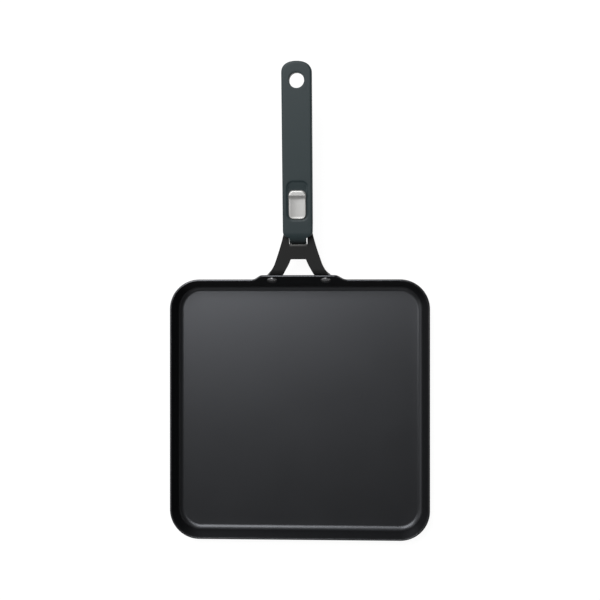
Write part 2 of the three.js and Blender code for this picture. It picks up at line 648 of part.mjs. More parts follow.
// Bolt: a bevelled nose under the tail, a body, a post up to the button and a peg for the spring.
function latchBolt() {
  const noseFront = boltFront - BOLT_NOSE;
  const noseTop = toeTop;
  const bevel = (noseTop - boltLow) / 2;
  const side = new THREE.Shape();
  side.moveTo(noseFront + bevel, boltLow);
  side.lineTo(boltBack, boltLow);
  side.lineTo(boltBack, boltTop);
  side.lineTo(boltFront, boltTop);
  side.lineTo(boltFront, noseTop);
  side.lineTo(noseFront, noseTop);
  side.lineTo(noseFront, boltLow + bevel);
  const peg = new THREE.CylinderGeometry(PEG_RADIUS, PEG_RADIUS, PEG_LENGTH + OVERLAP, ROUND_STEPS);
  peg.translate(0, boltBack + (PEG_LENGTH - OVERLAP) / 2, (boltTop + boltLow) / 2);
  return prismAlongX(side, BOLT_WIDTH)
    .add(block(POST_WIDTH, postFront, postBack, boltLow + OVERLAP, buttonLow - SEAT_GAP))
    .add(solidFrom(peg))
    .subtract(sunkBore(postMiddle, boltLow, REACH));
}

// Compression spring along y: one wire carried round a helix.
function latchSpring() {
  const radius = (SPRING_DIAMETER - SPRING_WIRE) / 2;
  const start = springFront + SPRING_WIRE / 2;
  const run = SPRING_LENGTH - SPRING_WIRE;
  const helix = new THREE.Curve();
  helix.getPoint = (share, point = new THREE.Vector3()) => {
    const turn = share * SPRING_TURNS * 2 * Math.PI;
    return point.set(radius * Math.cos(turn), start + share * run, radius * Math.sin(turn));
  };
  const section = new THREE.Shape();
  for (let side = 0; side < WIRE_SIDES; side++) {
    const angle = (side / WIRE_SIDES) * 2 * Math.PI;
    const x = SPRING_WIRE / 2 * Math.cos(angle);
    const y = SPRING_WIRE / 2 * Math.sin(angle);
    if (side === 0) section.moveTo(x, y);
    else section.lineTo(x, y);
  }
  const steps = SPRING_TURNS * COIL_STEPS;
  const coil = new THREE.ExtrudeGeometry(section, { extrudePath: helix, steps, bevelEnabled: false });
  return coil.translate(0, 0, (boltTop + boltLow) / 2);
}

// Screws point up the handle's z: a sunk head flush at the low end, or a round head under its seat

function sunkScrew(low, tip) {
  const shank = SCREW_SHANK / 2;
  return turned([
    [0, low], [SCREW_HEAD / 2, low], [shank, low + SCREW_HEAD_HEIGHT], [shank, tip], [0, tip],
  ]).rotateX(Math.PI / 2);
}

function roundScrew(seat, tip) {
  const shank = SCREW_SHANK / 2;
  const headTop = seat - SEAT_GAP;
  const headLow = headTop - SCREW_HEAD_HEIGHT;
  return turned([
    [0, headLow], [SCREW_HEAD / 3, headLow], [SCREW_HEAD / 2, headLow + SCREW_HEAD_HEIGHT / 2],
    [SCREW_HEAD / 2, headTop], [shank, headTop], [shank, tip], [0, tip],
  ]).rotateX(Math.PI / 2);
}

// Materials

const coating = new THREE.MeshStandardMaterial({ color: 0x242527, roughness: 0.42, metalness: 0.3 });
const blackPaint = new THREE.MeshStandardMaterial({ color: 0x1e1e1e, roughness: 0.6, metalness: 0.2 });
const bluePlastic = new THREE.MeshStandardMaterial({ color: 0x40494c, roughness: 0.6, metalness: 0 });
const satinSteel = new THREE.MeshStandardMaterial({ color: 0xc4c3c0, roughness: 0.32, metalness: 1 });
const zincSteel = new THREE.MeshStandardMaterial({ color: 0x8d8f92, roughness: 0.45, metalness: 1 });

// Assembly

function piece(name, shape, material) {
  const geometry = shape.isBufferGeometry ? shape : geometryFrom(shape);
  const mesh = new THREE.Mesh(geometry, material);
  mesh.name = name;
  return mesh;
}

const griddle = new THREE.Group();
griddle.add(piece('pan_body', panBody(), coating));

for (const [name, side] of [['rivet_left', -1], ['rivet_right', 1]]) {
  const mesh = piece(name, rivet(), blackPaint);
  mesh.position.set(side * RIVET_SPACING / 2, 0, -RIVET_DROP);
  tabFrame.add(mesh);
}
griddle.add(tabFrame);

handleFrame.add(piece('handle_bracket', handleBracket(), blackPaint));
handleFrame.add(piece('handle_core', handleCore(), zincSteel));
handleFrame.add(piece('grip_upper_shell', upperShell(), bluePlastic));
handleFrame.add(piece('grip_lower_shell', lowerShell(), bluePlastic));
handleFrame.add(piece('slide_button', slideButton(), satinSteel));
handleFrame.add(piece('latch_bolt', latchBolt(), zincSteel));
handleFrame.add(piece('latch_spring', latchSpring(), zincSteel));

const screws = [
  ['button_screw', postMiddle, sunkScrew(boltLow, buttonLow + BUTTON_THICKNESS / 2 - SEAT_GAP)],
  ['core_screw_front', coreScrews[0], sunkScrew(coreLow, screwTip)],
  ['core_screw_rear', coreScrews[1], sunkScrew(coreLow, screwTip)],
  ['shell_screw_front', shellScrews[0], roundScrew(lowerParting, screwTip)],
  ['shell_screw_rear', shellScrews[1], roundScrew(lowerParting, screwTip)],
];
for (const [name, y, shape] of screws) {
  const mesh = piece(name, shape, zincSteel);
  mesh.position.y = y;
  handleFrame.add(mesh);
}
griddle.add(handleFrame);

export default griddle;
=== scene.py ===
"""Looks of a square griddle pan with a plug-on handle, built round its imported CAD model.

Sizes of the pieces are in millimetres, and a mesh is scaled to metres when it is made. Lamps and camera are
in metres. Names that end in STEPS, RINGS, ROWS or COLUMNS set how finely a surface is divided.
"""

import bmesh
import bpy
import numpy as np
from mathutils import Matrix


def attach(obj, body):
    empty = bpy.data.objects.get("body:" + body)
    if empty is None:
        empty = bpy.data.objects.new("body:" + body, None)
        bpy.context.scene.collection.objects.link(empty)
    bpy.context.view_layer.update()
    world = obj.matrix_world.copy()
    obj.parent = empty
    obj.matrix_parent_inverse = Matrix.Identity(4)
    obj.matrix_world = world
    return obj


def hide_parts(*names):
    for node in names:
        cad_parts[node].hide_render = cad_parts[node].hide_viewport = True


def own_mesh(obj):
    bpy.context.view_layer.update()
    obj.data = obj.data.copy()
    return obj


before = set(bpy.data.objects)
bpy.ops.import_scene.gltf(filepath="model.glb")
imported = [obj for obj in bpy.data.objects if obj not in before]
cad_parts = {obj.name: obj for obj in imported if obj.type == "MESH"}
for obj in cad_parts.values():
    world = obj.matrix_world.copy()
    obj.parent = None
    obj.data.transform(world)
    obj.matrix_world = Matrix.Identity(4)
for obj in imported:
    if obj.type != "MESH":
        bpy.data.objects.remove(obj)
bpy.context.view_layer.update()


# Pan body: one square steel sheet pressed into a shallow tray, with a tab left standing at the back for the
# handle's bracket. A satin black non-stick coat covers it inside and out and is thin on the cut edge.

SHEET = 2.0
RIM_SIDE = 280.0
RIM_HEIGHT = 20.0
RIM_CORNER = 32.0
WALL_ANGLE = np.radians(70)
INNER_FILLET = 6.5
OUTER_FILLET = INNER_FILLET + SHEET
TAB_RISE = 12.0
TAB_HALF = 37.5
TAB_SHOULDER = 14.4
EDGE_POWER = 0.5
EDGE_DUAL = 2 / (2 - EDGE_POWER)
CORNER_STEPS = 25
SIDE_STEPS = 16
TAB_STEPS = 16
SHOULDER_STEPS = 30
BACK_STEPS = 8
FILLET_STEPS = 15
WALL_STEPS = 7
EDGE_STEPS = 21
FLOOR_SHARES = (0, 0.35, 0.7, 0.93)
WELD = 2e-6
SHARP_ANGLE = np.radians(40)
COAT_BLACK = (0.0034, 0.0035, 0.0039, 1)
COAT_FLECK = (0.0080, 0.0082, 0.0088, 1)
COAT_EDGE = (0.045, 0.045, 0.046, 1)
COAT_SHEEN = (0.90, 0.93, 1.0, 1)


class Link:
    """A socket among a material's nodes. Arithmetic with numbers and other links adds Math nodes."""

    def __init__(self, tree, socket=None):
        self.tree = tree
        self.socket = socket

    def node(self, kind, settings, sockets, out=0):
        """Adds a node: first its settings, then the value or the link of each socket it names."""
        made = self.tree.nodes.new("ShaderNode" + kind)
        for key, value in settings.items():
            if key == "stops":
                ramp = made.color_ramp.elements
                for element, (place, shade) in zip((ramp[0], ramp[1]), value):
                    element.position = place
                    element.color = (shade, shade, shade, 1)
            else:
                setattr(made, key, value)
        for key, value in sockets.items():
            if isinstance(value, Link):
                self.tree.links.new(value.socket, made.inputs[key])
            else:
                made.inputs[key].default_value = value
        return Link(self.tree, made.outputs[out] if out is not None else None)

    def maths(self, operation, first, second):
        """A Math node with two inputs, each a number or a link."""
        return self.node("Math", {"operation": operation}, {0: first, 1: second})

    def __add__(self, other):
        return self.maths("ADD", self, other)

    __radd__ = __add__

    def __sub__(self, other):
        return self.maths("SUBTRACT", self, other)

    def __rsub__(self, other):
        return self.maths("SUBTRACT", other, self)

    def __mul__(self, other):
        return self.maths("MULTIPLY", self, other)

    __rmul__ = __mul__

    def noise(self, scale, detail=2.0, stretch=(1, 1, 1)):
        """Noise from 0 to 1 on Object coordinates, with that many features to a metre."""
        place = self.node("TexCoord", {}, {}, "Object")
        place = self.node("Mapping", {}, {"Vector": place, "Scale": stretch})
        return self.node("TexNoise", {}, {"Vector": place, "Scale": scale, "Detail": detail})

    def blend(self, share, first, second):
        """A colour between two, by a share from 0 to 1."""
        return self.node("Mix", {"data_type": "RGBA"}, {0: share, 6: first, 7: second}, 2)

    def step(self, value, low, high):
        """0 below low and 1 above high, even between them."""
        return self.node("ValToRGB", {"stops": ((low, 0), (high, 1))}, {"Fac": value})

    def bump(self, height, depth):
        """A normal tilted by a height from 0 to 1, whose full range is that many millimetres."""
        return self.node("Bump", {}, {"Height": height, "Strength": 1.0, "Distance": depth / 1000})

    def surface(self, shader):
        """Makes a shader the material's surface."""
        self.node("OutputMaterial", {}, {"Surface": shader}, None)

    def principled(self, sockets):
        """Makes a Principled shader with those sockets the material's surface."""
        self.surface(self.node("BsdfPrincipled", {}, sockets))


def new_finish(name):
    """An empty material, and a link that adds nodes to it."""
    material = bpy.data.materials.new(name)
    material.use_nodes = True
    material.node_tree.nodes.clear()
    return material, Link(material.node_tree)


def surface_piece(name, grids, material, mark=None):
    """A piece from grids of points: each grid has rows and columns of (x, y, z) and gives one four-sided
    face between neighbours. Points that meet are welded, which closes seams and poles, and faces turn
    outwards. The mark, if given, is a number for each point of the first grids in turn; the rest get 0."""
    faces = []
    count = 0
    for grid in grids:
        index = count + np.arange(grid.shape[0] * grid.shape[1]).reshape(grid.shape[:2])
        corners = (index[:-1, :-1], index[:-1, 1:], index[1:, 1:], index[1:, :-1])
        faces.append(np.stack(corners, -1).reshape(-1, 4))
        count += index.size
    points = np.concatenate([grid.reshape(-1, 3) for grid in grids]) / 1000
    mesh = bpy.data.meshes.new(name)
    mesh.from_pydata(points.tolist(), [], np.concatenate(faces).tolist())
    if mark is not None:
        values = np.zeros(count, np.float32)
        values[:mark.size] = mark.ravel()
        mesh.attributes.new("mark", "FLOAT", "POINT").data.foreach_set("value", values)
    work = bmesh.new()
    work.from_mesh(mesh)
    bmesh.ops.remove_doubles(work, verts=work.verts, dist=WELD)
    bmesh.ops.dissolve_degenerate(work, edges=work.edges, dist=WELD / 2)
    bmesh.ops.recalc_face_normals(work, faces=work.faces)
    work.to_mesh(mesh)
    work.free()
    mesh.shade_smooth()
    mesh.set_sharp_from_angle(angle=SHARP_ANGLE)
    mesh.materials.append(material)
    piece = bpy.data.objects.new(name, mesh)
    bpy.context.scene.collection.objects.link(piece)
    return piece


def smooth_step(share):
    """From 0 to 1 with no slope and no bend at either end: six times the share's fifth power, less fifteen
    times its fourth power, plus ten times its cube."""
    share = np.clip(share, 0, 1)
    return share ** 3 * (share * (6 * share - 15) + 10)


def wall_out(height):
    """Run of the wall's outer face past the floor's edge: the fillet's own run, then the slope above it."""
    fillet_top = OUTER_FILLET * (1 - np.cos(WALL_ANGLE))
    return OUTER_FILLET * np.sin(WALL_ANGLE) + (height - fillet_top) / np.tan(WALL_ANGLE)


# How far the cut edge's half superellipse reaches straight up or out on a leaning wall, in half sheets.
edge_reach = (np.cos(WALL_ANGLE) ** EDGE_DUAL + np.sin(WALL_ANGLE) ** EDGE_DUAL) ** (1 / EDGE_DUAL)
edge_drop = SHEET / 2 * (edge_reach + np.cos(WALL_ANGLE))
rim_run = wall_out(RIM_HEIGHT - edge_drop) + SHEET / 2 * (edge_reach - np.sin(WALL_ANGLE))
floor_half = RIM_SIDE / 2 - rim_run
floor_corner = RIM_CORNER - rim_run


def floor_outline():
    """Points round the floor's edge with their outward normals: quarter circles joined by straight sides."""
    middle = floor_half - floor_corner
    signs = np.array([[1, -1], [1, 1], [-1, 1], [-1, -1]])
    quarter = np.linspace(0, np.pi / 2, CORNER_STEPS)
    even = np.linspace(0, 1, SIDE_STEPS)[1:-1]
    half_tab = np.concatenate([
        np.linspace(0, TAB_HALF, TAB_STEPS)[:-1],
        np.linspace(TAB_HALF, TAB_HALF + TAB_SHOULDER, SHOULDER_STEPS)[:-1],
        np.linspace(TAB_HALF + TAB_SHOULDER, middle, BACK_STEPS)[:-1],
    ])
    tab_places = np.concatenate([half_tab[:0:-1], -half_tab])
    behind = (middle - tab_places) / (2 * middle)
    points = []
    normals = []
    for corner in range(4):
        turn = (corner - 1) * np.pi / 2 + quarter
        normal = np.stack([np.cos(turn), np.sin(turn)], -1)
        arc = middle * signs[corner] + floor_corner * normal
        following = middle * signs[(corner + 1) % 4] + floor_corner * normal[-1]
        shares = behind if corner == 1 else even
        side = arc[-1] + shares[:, None] * (following - arc[-1])
        points += [arc, side]
        normals += [normal, np.repeat(normal[-1:], len(side), 0)]
    return np.concatenate(points), np.concatenate(normals)


def pan_section(top):
    """Rows of the pan's section for a rim that ends at the heights in top: share of the floor's outline,
    run out from it, height, and 1 on the cut edge. Up the outside, over the edge and down the inside. The
    cut edge is flat with broken corners: half a superellipse, a power of sine and cosine across and along
    the wall."""
    level = np.ones_like(top)
    bend = np.linspace(0, WALL_ANGLE, FILLET_STEPS)[:, None]
    climb = np.linspace(0, 1, WALL_STEPS)[1:, None]
    turn = np.linspace(-np.pi / 2, np.pi / 2, EDGE_STEPS)[:, None]
    across = np.sign(turn) * abs(np.sin(turn)) ** EDGE_POWER
    along = np.cos(turn).clip(0) ** EDGE_POWER
    start = top - edge_drop
    fillet_top = OUTER_FILLET * (1 - np.cos(WALL_ANGLE))
    outside = fillet_top + climb * (start - fillet_top)
    middle = wall_out(start) - SHEET / 2 * np.sin(WALL_ANGLE)
    edge_out = middle + SHEET / 2 * (along * np.cos(WALL_ANGLE) - across * np.sin(WALL_ANGLE))
    edge_high = start + SHEET / 2 * ((1 + across) * np.cos(WALL_ANGLE) + along * np.sin(WALL_ANGLE))
    foot_out = INNER_FILLET * np.sin(WALL_ANGLE)
    foot_high = OUTER_FILLET - INNER_FILLET * np.cos(WALL_ANGLE)
    inner_bend = bend[::-1]
    spread = np.array(FLOOR_SHARES)[:, None]
    outs = [
        0 * spread * level,
        OUTER_FILLET * np.sin(bend) * level,
        wall_out(outside),
        edge_out,
        edge_out[-1] + climb * (foot_out - edge_out[-1]),
        INNER_FILLET * np.sin(inner_bend) * level,
        0 * spread * level,
    ]
    highs = [
        0 * spread * level,
        OUTER_FILLET * (1 - np.cos(bend)) * level,
        outside,
        edge_high,
        edge_high[-1] + climb * (foot_high - edge_high[-1]),
        (OUTER_FILLET - INNER_FILLET * np.cos(inner_bend)) * level,
        SHEET + 0 * spread * level,
    ]
    counts = [len(rows) for rows in outs]
    shares = np.concatenate([spread, np.ones((sum(counts[1:-1]), 1)), spread[::-1]])
    on_edge = np.repeat([0, 0, 0, 1, 0, 0, 0], counts)[:, None] * level
    return shares, np.concatenate(outs), np.concatenate(highs), on_edge


coating, link = new_finish("satin_black_coating")
peel = link.noise(900, 3)
cloud = link.noise(16, 2)
speck = link.step(link.noise(2600, 1), 0.58, 0.72)
edge = link.node("Attribute", {"attribute_name": "mark"}, {}, "Fac")
colour = link.blend(speck * 0.8, COAT_BLACK, COAT_FLECK)
link.principled({
    "Base Color": link.blend(edge * 0.15, colour, COAT_EDGE),
    "Roughness": 0.30 + 0.05 * cloud + 0.04 * peel - 0.05 * edge,
    "Specular IOR Level": 0.58,
    "Specular Tint": COAT_SHEEN,
    "Normal": link.bump(peel, 0.006),
})

outline, outward = floor_outline()
over_tab = (TAB_HALF + TAB_SHOULDER - abs(outline[:, 0])) / TAB_SHOULDER * (outline[:, 1] > 0)
rim_top = RIM_HEIGHT + TAB_RISE * smooth_step(over_tab)
share, out, high, on_edge = pan_section(rim_top)
plan = share[..., None] * outline + out[..., None] * outward
pan_grid = np.concatenate([plan, high[..., None]], -1)
pan_grid = np.concatenate([pan_grid, pan_grid[:, :1]], 1)
on_edge = np.concatenate([on_edge, on_edge[:, :1]], 1)
pan = surface_piece("pan_tray", [pan_grid], coating, on_edge)
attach(pan, "pan")
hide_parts("pan_body")


# Rivets: two steel rivets through tab and bracket. The low dome inside the pan was coated with it, and the
# smaller head outside was formed when they were set.

RIVET_SPACING = 57.5
RIVET_DROP = 8.5
RIVET_SHANK = 3.0
HEAD_RADIUS = 5.75
HEAD_DOME = 3.0
TAIL_RADIUS = 4.75
TAIL_DOME = 2.0
HEAD_RIM = 0.3
HEAD_UNDERCUT = 0.25
DOME_STEPS = 14
ROUND_STEPS = 49
SEAT = 0.3
BRACKET_SHEET = 2.5
RIVET_DARK = (0.20, 0.20, 0.205, 1)
RIVET_BRIGHT = (0.36, 0.36, 0.36, 1)

tab_origin = np.array([0, floor_half + wall_out(RIM_HEIGHT + TAB_RISE), RIM_HEIGHT + TAB_RISE])
tab_lean = WALL_ANGLE - np.pi / 2


def placed(points, origin, lean):
    """Points turned about x by the lean and carried to the origin."""
    x, y, z = np.moveaxis(points, -1, 0)
    turned = np.stack([x, y * np.cos(lean) - z * np.sin(lean), y * np.sin(lean) + z * np.cos(lean)], -1)
    return turned + origin


def rivet_rows():
    """Radius and place along the axis: a quarter ellipse to the head's rim, the shank, and back over the
    tail's quarter ellipse."""
    inside = -SHEET - SEAT
    outside = SEAT + BRACKET_SHEET + SEAT
    turn = np.linspace(0, np.pi / 2, DOME_STEPS)
    radius = np.concatenate([
        HEAD_RADIUS * np.sin(turn), [HEAD_RADIUS - HEAD_UNDERCUT, RIVET_SHANK, RIVET_SHANK],
        [TAIL_RADIUS - HEAD_UNDERCUT], TAIL_RADIUS * np.sin(turn[::-1]),
    ])
    along = np.concatenate([
        inside - HEAD_RIM - (HEAD_DOME - HEAD_RIM) * np.cos(turn), [inside, inside, outside],
        [outside], outside + HEAD_RIM + (TAIL_DOME - HEAD_RIM) * np.cos(turn[::-1]),
    ])
    return radius[:, None], along[:, None]


rivet_finish, link = new_finish("coated_rivet_steel")
grain = link.noise(1400, 3)
rub = link.step(link.noise(420, 3), 0.48, 0.7)
link.principled({
    "Base Color": link.blend(rub * 0.6, RIVET_DARK, RIVET_BRIGHT),
    "Metallic": 0.85 + 0.1 * rub,
    "Roughness": 0.26 + 0.1 * grain,
    "Normal": link.bump(grain, 0.01),
})

spin = np.linspace(0, 2 * np.pi, ROUND_STEPS)
radius, along = rivet_rows()
for name, side in (("rivet_left", -1), ("rivet_right", 1)):
    x = side * RIVET_SPACING / 2 + radius * np.cos(spin)
    z = -RIVET_DROP + radius * np.sin(spin)
    grid = placed(np.stack([x, along + 0 * x, z], -1), tab_origin, tab_lean)
    rivet = surface_piece(name + "_dome", [grid], rivet_finish)
    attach(rivet, "pan")
    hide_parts(name)


# Bracket: an A stamped from steel sheet and bent once over the tab, painted matt black. Its feet are riveted
# behind the tab, its window takes the handle's lip and hook, and its tail lies inside the handle.
# The paint's lighter, shinier mark is a painted highlight on the window's front edge and the feet's outer
# edges.

BEND_RADIUS = 5.75
PLATE_LIFT = 3.0
HANDLE_LEAN = np.radians(8)
GAP_LENGTH = 15.0
CROSSBAR = 15.9
GAP_HALF = 8.6
GAP_CORNER = 1.6
GAP_PULL = (12.6, -27.5)
FOOT_RADIUS = 8.0
FOOT_MIDDLE = RIVET_SPACING / 2
LEG_PLACE = (25.2, -20.9)
LEG_PULL = (28.6, -29.0)
FOOT_EDGE = -37.5
NECK_HALF = 15.45
NECK_PLACE = 11.0
NECK_PULL = 17.75
TAPER_END = 17.5
TAIL_HALF = 11.25
TAIL_END = 27.0
TAIL_CORNER = 3.0
WINDOW_HALF = 9.7
WINDOW_END = 11.0
WINDOW_CORNER = 1.0
PAINT_BLACK = (0.0040, 0.0040, 0.0040, 1)
PAINT_GREY = (0.0065, 0.0065, 0.0065, 1)
# Painted highlight: its colour, and where it lies along the window's front edge and the feet's outer edges.
PAINT_HIGHLIGHT = (0.30, 0.30, 0.295, 1)
HIGHLIGHT_BAND = 2.2
HIGHLIGHT_END = 2.0
FOOT_HIGHLIGHT_LIMIT = FOOT_EDGE + 10.0
FOOT_HIGHLIGHT_RUN = 8.0
EDGE_BREAK = 0.25
BREAK_ANGLE = 50
BELOW_FEET = -100
CURVE_STEPS = 40
ARC_STEPS = 5
CORNER_TABLE_STEPS = 21
BEND_STEPS = 13
TIP_STEPS = 9
LEG_ROWS = 9
FOOT_ROWS = 8
WINDOW_ROWS = 8
TAIL_ROWS = 10
LEG_COLUMNS = 11
BAR_COLUMNS = 7
BAR_SHARES = np.concatenate([np.linspace(0, 0.86, 9), np.linspace(0.86, 1, 6)[1:]])

plate_length = GAP_LENGTH + CROSSBAR
bend_corner = placed(np.array([0, SEAT, PLATE_LIFT]), tab_origin, tab_lean)
handle_origin = bend_corner + plate_length * np.array([0, np.cos(HANDLE_LEAN), np.sin(HANDLE_LEAN)])


def bowed(start, pull, end):
    """A curve between two (x, y) points that leaves and enters along lines through the pull: a parabola."""
    t = np.linspace(0, 1, CURVE_STEPS)[:, None]
    return (1 - t) ** 2 * np.array(start) + 2 * t * (1 - t) * np.array(pull) + t ** 2 * np.array(end)


def bracket_rows():
    """Rows of the bent strip from the feet's tips to the tail: place along the handle, height, and the
    inner and outer edge on the right-hand side. The feet end in half circles, and the edges are parabolas
    and corner arcs. A corner arc of the gap or the window is shared at 45 degrees: half of it belongs to
    the leg's rows, and half to the edge across."""
    bend = WALL_ANGLE - HANDLE_LEAN
    outer_bend = BEND_RADIUS + BRACKET_SHEET / 2
    tangent = outer_bend * np.tan(bend / 2)
    bend_end = -plate_length + tangent
    half_arc = np.linspace(0, np.pi / 4, ARC_STEPS)
    bar_start = -CROSSBAR - GAP_CORNER * (1 - np.sin(np.pi / 4))
    bar_end = WINDOW_CORNER * (1 - np.cos(np.pi / 4))
    plate = np.concatenate([
        np.linspace(bend_end, -CROSSBAR - GAP_CORNER, LEG_ROWS)[1:-1],
        -CROSSBAR - GAP_CORNER * (1 - np.sin(half_arc)),
        bar_start + BAR_SHARES[1:] * (bar_end - bar_start),
        WINDOW_CORNER * (1 - np.sin(half_arc[-2::-1])),
        np.linspace(WINDOW_CORNER, WINDOW_END - WINDOW_CORNER, WINDOW_ROWS)[1:-1],
        WINDOW_END - WINDOW_CORNER * (1 - np.sin(half_arc)),
        np.linspace(WINDOW_END, TAIL_END - TAIL_CORNER, TAIL_ROWS)[1:-1],
        TAIL_END - TAIL_CORNER * (1 - np.sin(np.linspace(0, np.pi / 2, ARC_STEPS))),
    ])
    turn = np.linspace(bend, 0, BEND_STEPS)
    curve_place = bend_end - BEND_RADIUS * np.sin(turn)
    curve_high = -outer_bend + BEND_RADIUS * np.cos(turn)
    rivet_far = PLATE_LIFT + RIVET_DROP - tangent
    tip_turn = np.linspace(0, np.pi / 2, TIP_STEPS)
    foot_far = np.concatenate([
        rivet_far + FOOT_RADIUS * np.cos(tip_turn),
        np.linspace(rivet_far, 0, FOOT_ROWS)[1:-1],
    ])
    foot_place = curve_place[0] - foot_far * np.cos(bend)
    foot_high = curve_high[0] - foot_far * np.sin(bend)
    place = np.concatenate([foot_place, curve_place, plate])
    height = np.concatenate([foot_high, curve_high, np.full(len(plate), -BRACKET_SHEET / 2)])

    corner = np.linspace(0, np.pi / 2, CORNER_TABLE_STEPS)
    first_half = corner[:len(corner) // 2 + 1]
    second_half = corner[len(corner) // 2:]
    outer = np.concatenate([
        [[FOOT_MIDDLE + FOOT_RADIUS, BELOW_FEET]],
        bowed((FOOT_MIDDLE + FOOT_RADIUS, FOOT_EDGE), LEG_PULL, LEG_PLACE),
        bowed(LEG_PLACE, (NECK_PULL, 0), (NECK_HALF, NECK_PLACE)),
        bowed((NECK_HALF, NECK_PLACE), (NECK_HALF, (NECK_PLACE + TAPER_END) / 2), (TAIL_HALF, TAPER_END)),
        np.stack([TAIL_HALF - TAIL_CORNER * (1 - np.cos(corner)),
                  TAIL_END - TAIL_CORNER * (1 - np.sin(corner))], -1),
    ])
    inner = np.concatenate([
        [[FOOT_MIDDLE - FOOT_RADIUS, BELOW_FEET]],
        bowed((FOOT_MIDDLE - FOOT_RADIUS, FOOT_EDGE), GAP_PULL, (GAP_HALF, -CROSSBAR - GAP_CORNER)),
        np.stack([GAP_HALF - GAP_CORNER * (1 - np.cos(first_half)),
                  -CROSSBAR - GAP_CORNER * (1 - np.sin(first_half))], -1),
        np.stack([WINDOW_HALF - WINDOW_CORNER * (1 - np.sin(second_half)),
                  WINDOW_CORNER * (1 - np.cos(second_half))], -1),
        np.stack([WINDOW_HALF - WINDOW_CORNER * (1 - np.cos(first_half)),
                  WINDOW_END - WINDOW_CORNER * (1 - np.sin(first_half))], -1),
        [[TAIL_HALF / 2, TAIL_END]],
    ])
    inner_edge = np.interp(place, inner[:, 1], inner[:, 0])
    outer_edge = np.interp(place, outer[:, 1], outer[:, 0])
    tips = len(tip_turn)
    inner_edge[:tips] = FOOT_MIDDLE - FOOT_RADIUS * np.sin(tip_turn)
    outer_edge[:tips] = FOOT_MIDDLE + FOOT_RADIUS * np.sin(tip_turn)
    return place, height, inner_edge, outer_edge


def edge_across(half, corner, place, side):
    """An edge across the plate from left to right, with half of a corner arc at both ends. The arcs leave
    the straight part forwards (side -1) or backwards (side 1)."""
    turn = np.linspace(0, np.pi / 4, ARC_STEPS)
    level = np.linspace(0, half - corner, BAR_COLUMNS)[:-1]
    x = np.concatenate([level, half - corner + corner * np.sin(turn)])
    y = place + side * np.concatenate([0 * level, corner * (1 - np.cos(turn))])
    return np.concatenate([-x[:0:-1], x]), np.concatenate([y[:0:-1], y])


def laid(across, place, height):
    """Points of the middle of the bracket's sheet, carried from the handle's own axes to the pan's."""
    rows = np.stack(np.broadcast_arrays(across, place, height), -1)
    return placed(rows, handle_origin, HANDLE_LEAN)


def bevelled(piece, name, width, angle):
    """Breaks the edges that turn by more than an angle in degrees, over a width in millimetres."""
    bevel = piece.modifiers.new(name, "BEVEL")
    bevel.width = width / 1000
    bevel.segments = 2
    bevel.limit_method = "ANGLE"
    bevel.angle_limit = np.radians(angle)
    return bevel


paint, link = new_finish("matt_black_paint")
grit = link.noise(1900, 3)
patch = link.noise(70, 3)
# The mark paints a highlight where the light catches the window's front edge and the feet's outer edges.
painted_highlight = link.node("Attribute", {"attribute_name": "mark"}, {}, "Fac") * (0.55 + 0.6 * patch)
colour = link.blend(0.25 + 0.5 * patch, PAINT_BLACK, PAINT_GREY)
link.principled({
    "Base Color": link.blend(painted_highlight * 0.5, colour, PAINT_HIGHLIGHT),
    "Metallic": 0.5 * painted_highlight,
    "Roughness": 0.58 + 0.12 * grit - 0.15 * painted_highlight,
    "Specular IOR Level": 0.30,
    "Normal": link.bump(grit, 0.014),
})

place, height, inner_edge, outer_edge = bracket_rows()
mid_sheet = -BRACKET_SHEET / 2
gap_x, gap_y = edge_across(GAP_HALF, GAP_CORNER, -CROSSBAR, -1)
front_x, front_y = edge_across(WINDOW_HALF, WINDOW_CORNER, 0, 1)
rear_x, rear_y = edge_across(WINDOW_HALF, WINDOW_CORNER, WINDOW_END, -1)
bar_x = gap_x + BAR_SHARES[:, None] * (front_x - gap_x)
bar_y = gap_y + BAR_SHARES[:, None] * (front_y - gap_y)
tail = place > rear_y[0] - 1e-6
tail_x = inner_edge[tail, None] * rear_x / rear_x[-1]
tail_y = place[tail, None] + 0 * rear_x
tail_y[0] = rear_y
sheets = [laid(bar_x, bar_y, mid_sheet), laid(tail_x, tail_y, mid_sheet)]
leg_x = inner_edge[:, None] + (outer_edge - inner_edge)[:, None] * np.linspace(0, 1, LEG_COLUMNS)
for side in (1, -1):
    sheets.append(laid(side * leg_x, place[:, None], height[:, None]))
# Masks of the painted highlight: a band on the crossbar along the window's front edge, and the feet's outer
# edges.
along_window = np.clip((WINDOW_HALF - abs(bar_x)) / HIGHLIGHT_END, 0, 1)
window_highlight = np.clip(1 + bar_y / HIGHLIGHT_BAND, 0, 1) ** 0.5 * along_window
outer_column = np.arange(LEG_COLUMNS) == LEG_COLUMNS - 1
foot_highlight = smooth_step((FOOT_HIGHLIGHT_LIMIT - place) / FOOT_HIGHLIGHT_RUN)[:, None] * outer_column
highlight_mark = np.concatenate([window_highlight.ravel(), 0 * tail_x.ravel(), foot_highlight.ravel(), foot_highlight.ravel()])
bracket = surface_piece("a_bracket", sheets, paint, highlight_mark)
wall = bracket.modifiers.new("sheet", "SOLIDIFY")
wall.thickness = BRACKET_SHEET / 1000
wall.offset = 0
bevelled(bracket, "rolled_edges", EDGE_BREAK, BREAK_ANGLE).use_clamp_overlap = False
flatten = bracket.modifiers.new("flat_faces", "WEIGHTED_NORMAL")
flatten.weight = 100
flatten.keep_sharp = True
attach(bracket, "pan")
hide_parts("handle_bracket")


# Inner steel: the bent core whose hook holds under the crossbar, the latch's bolt, and the screws. They are
# bright zinc-plated steel, mostly hidden inside the handle. Core and bolt have their edges broken.

CORE_BREAK = 0.25
BOLT_BREAK = 0.2
STEEL_ANGLE = 40
ZINC_BRIGHT = (0.50, 0.51, 0.52, 1)
ZINC_DULL = (0.33, 0.335, 0.35, 1)

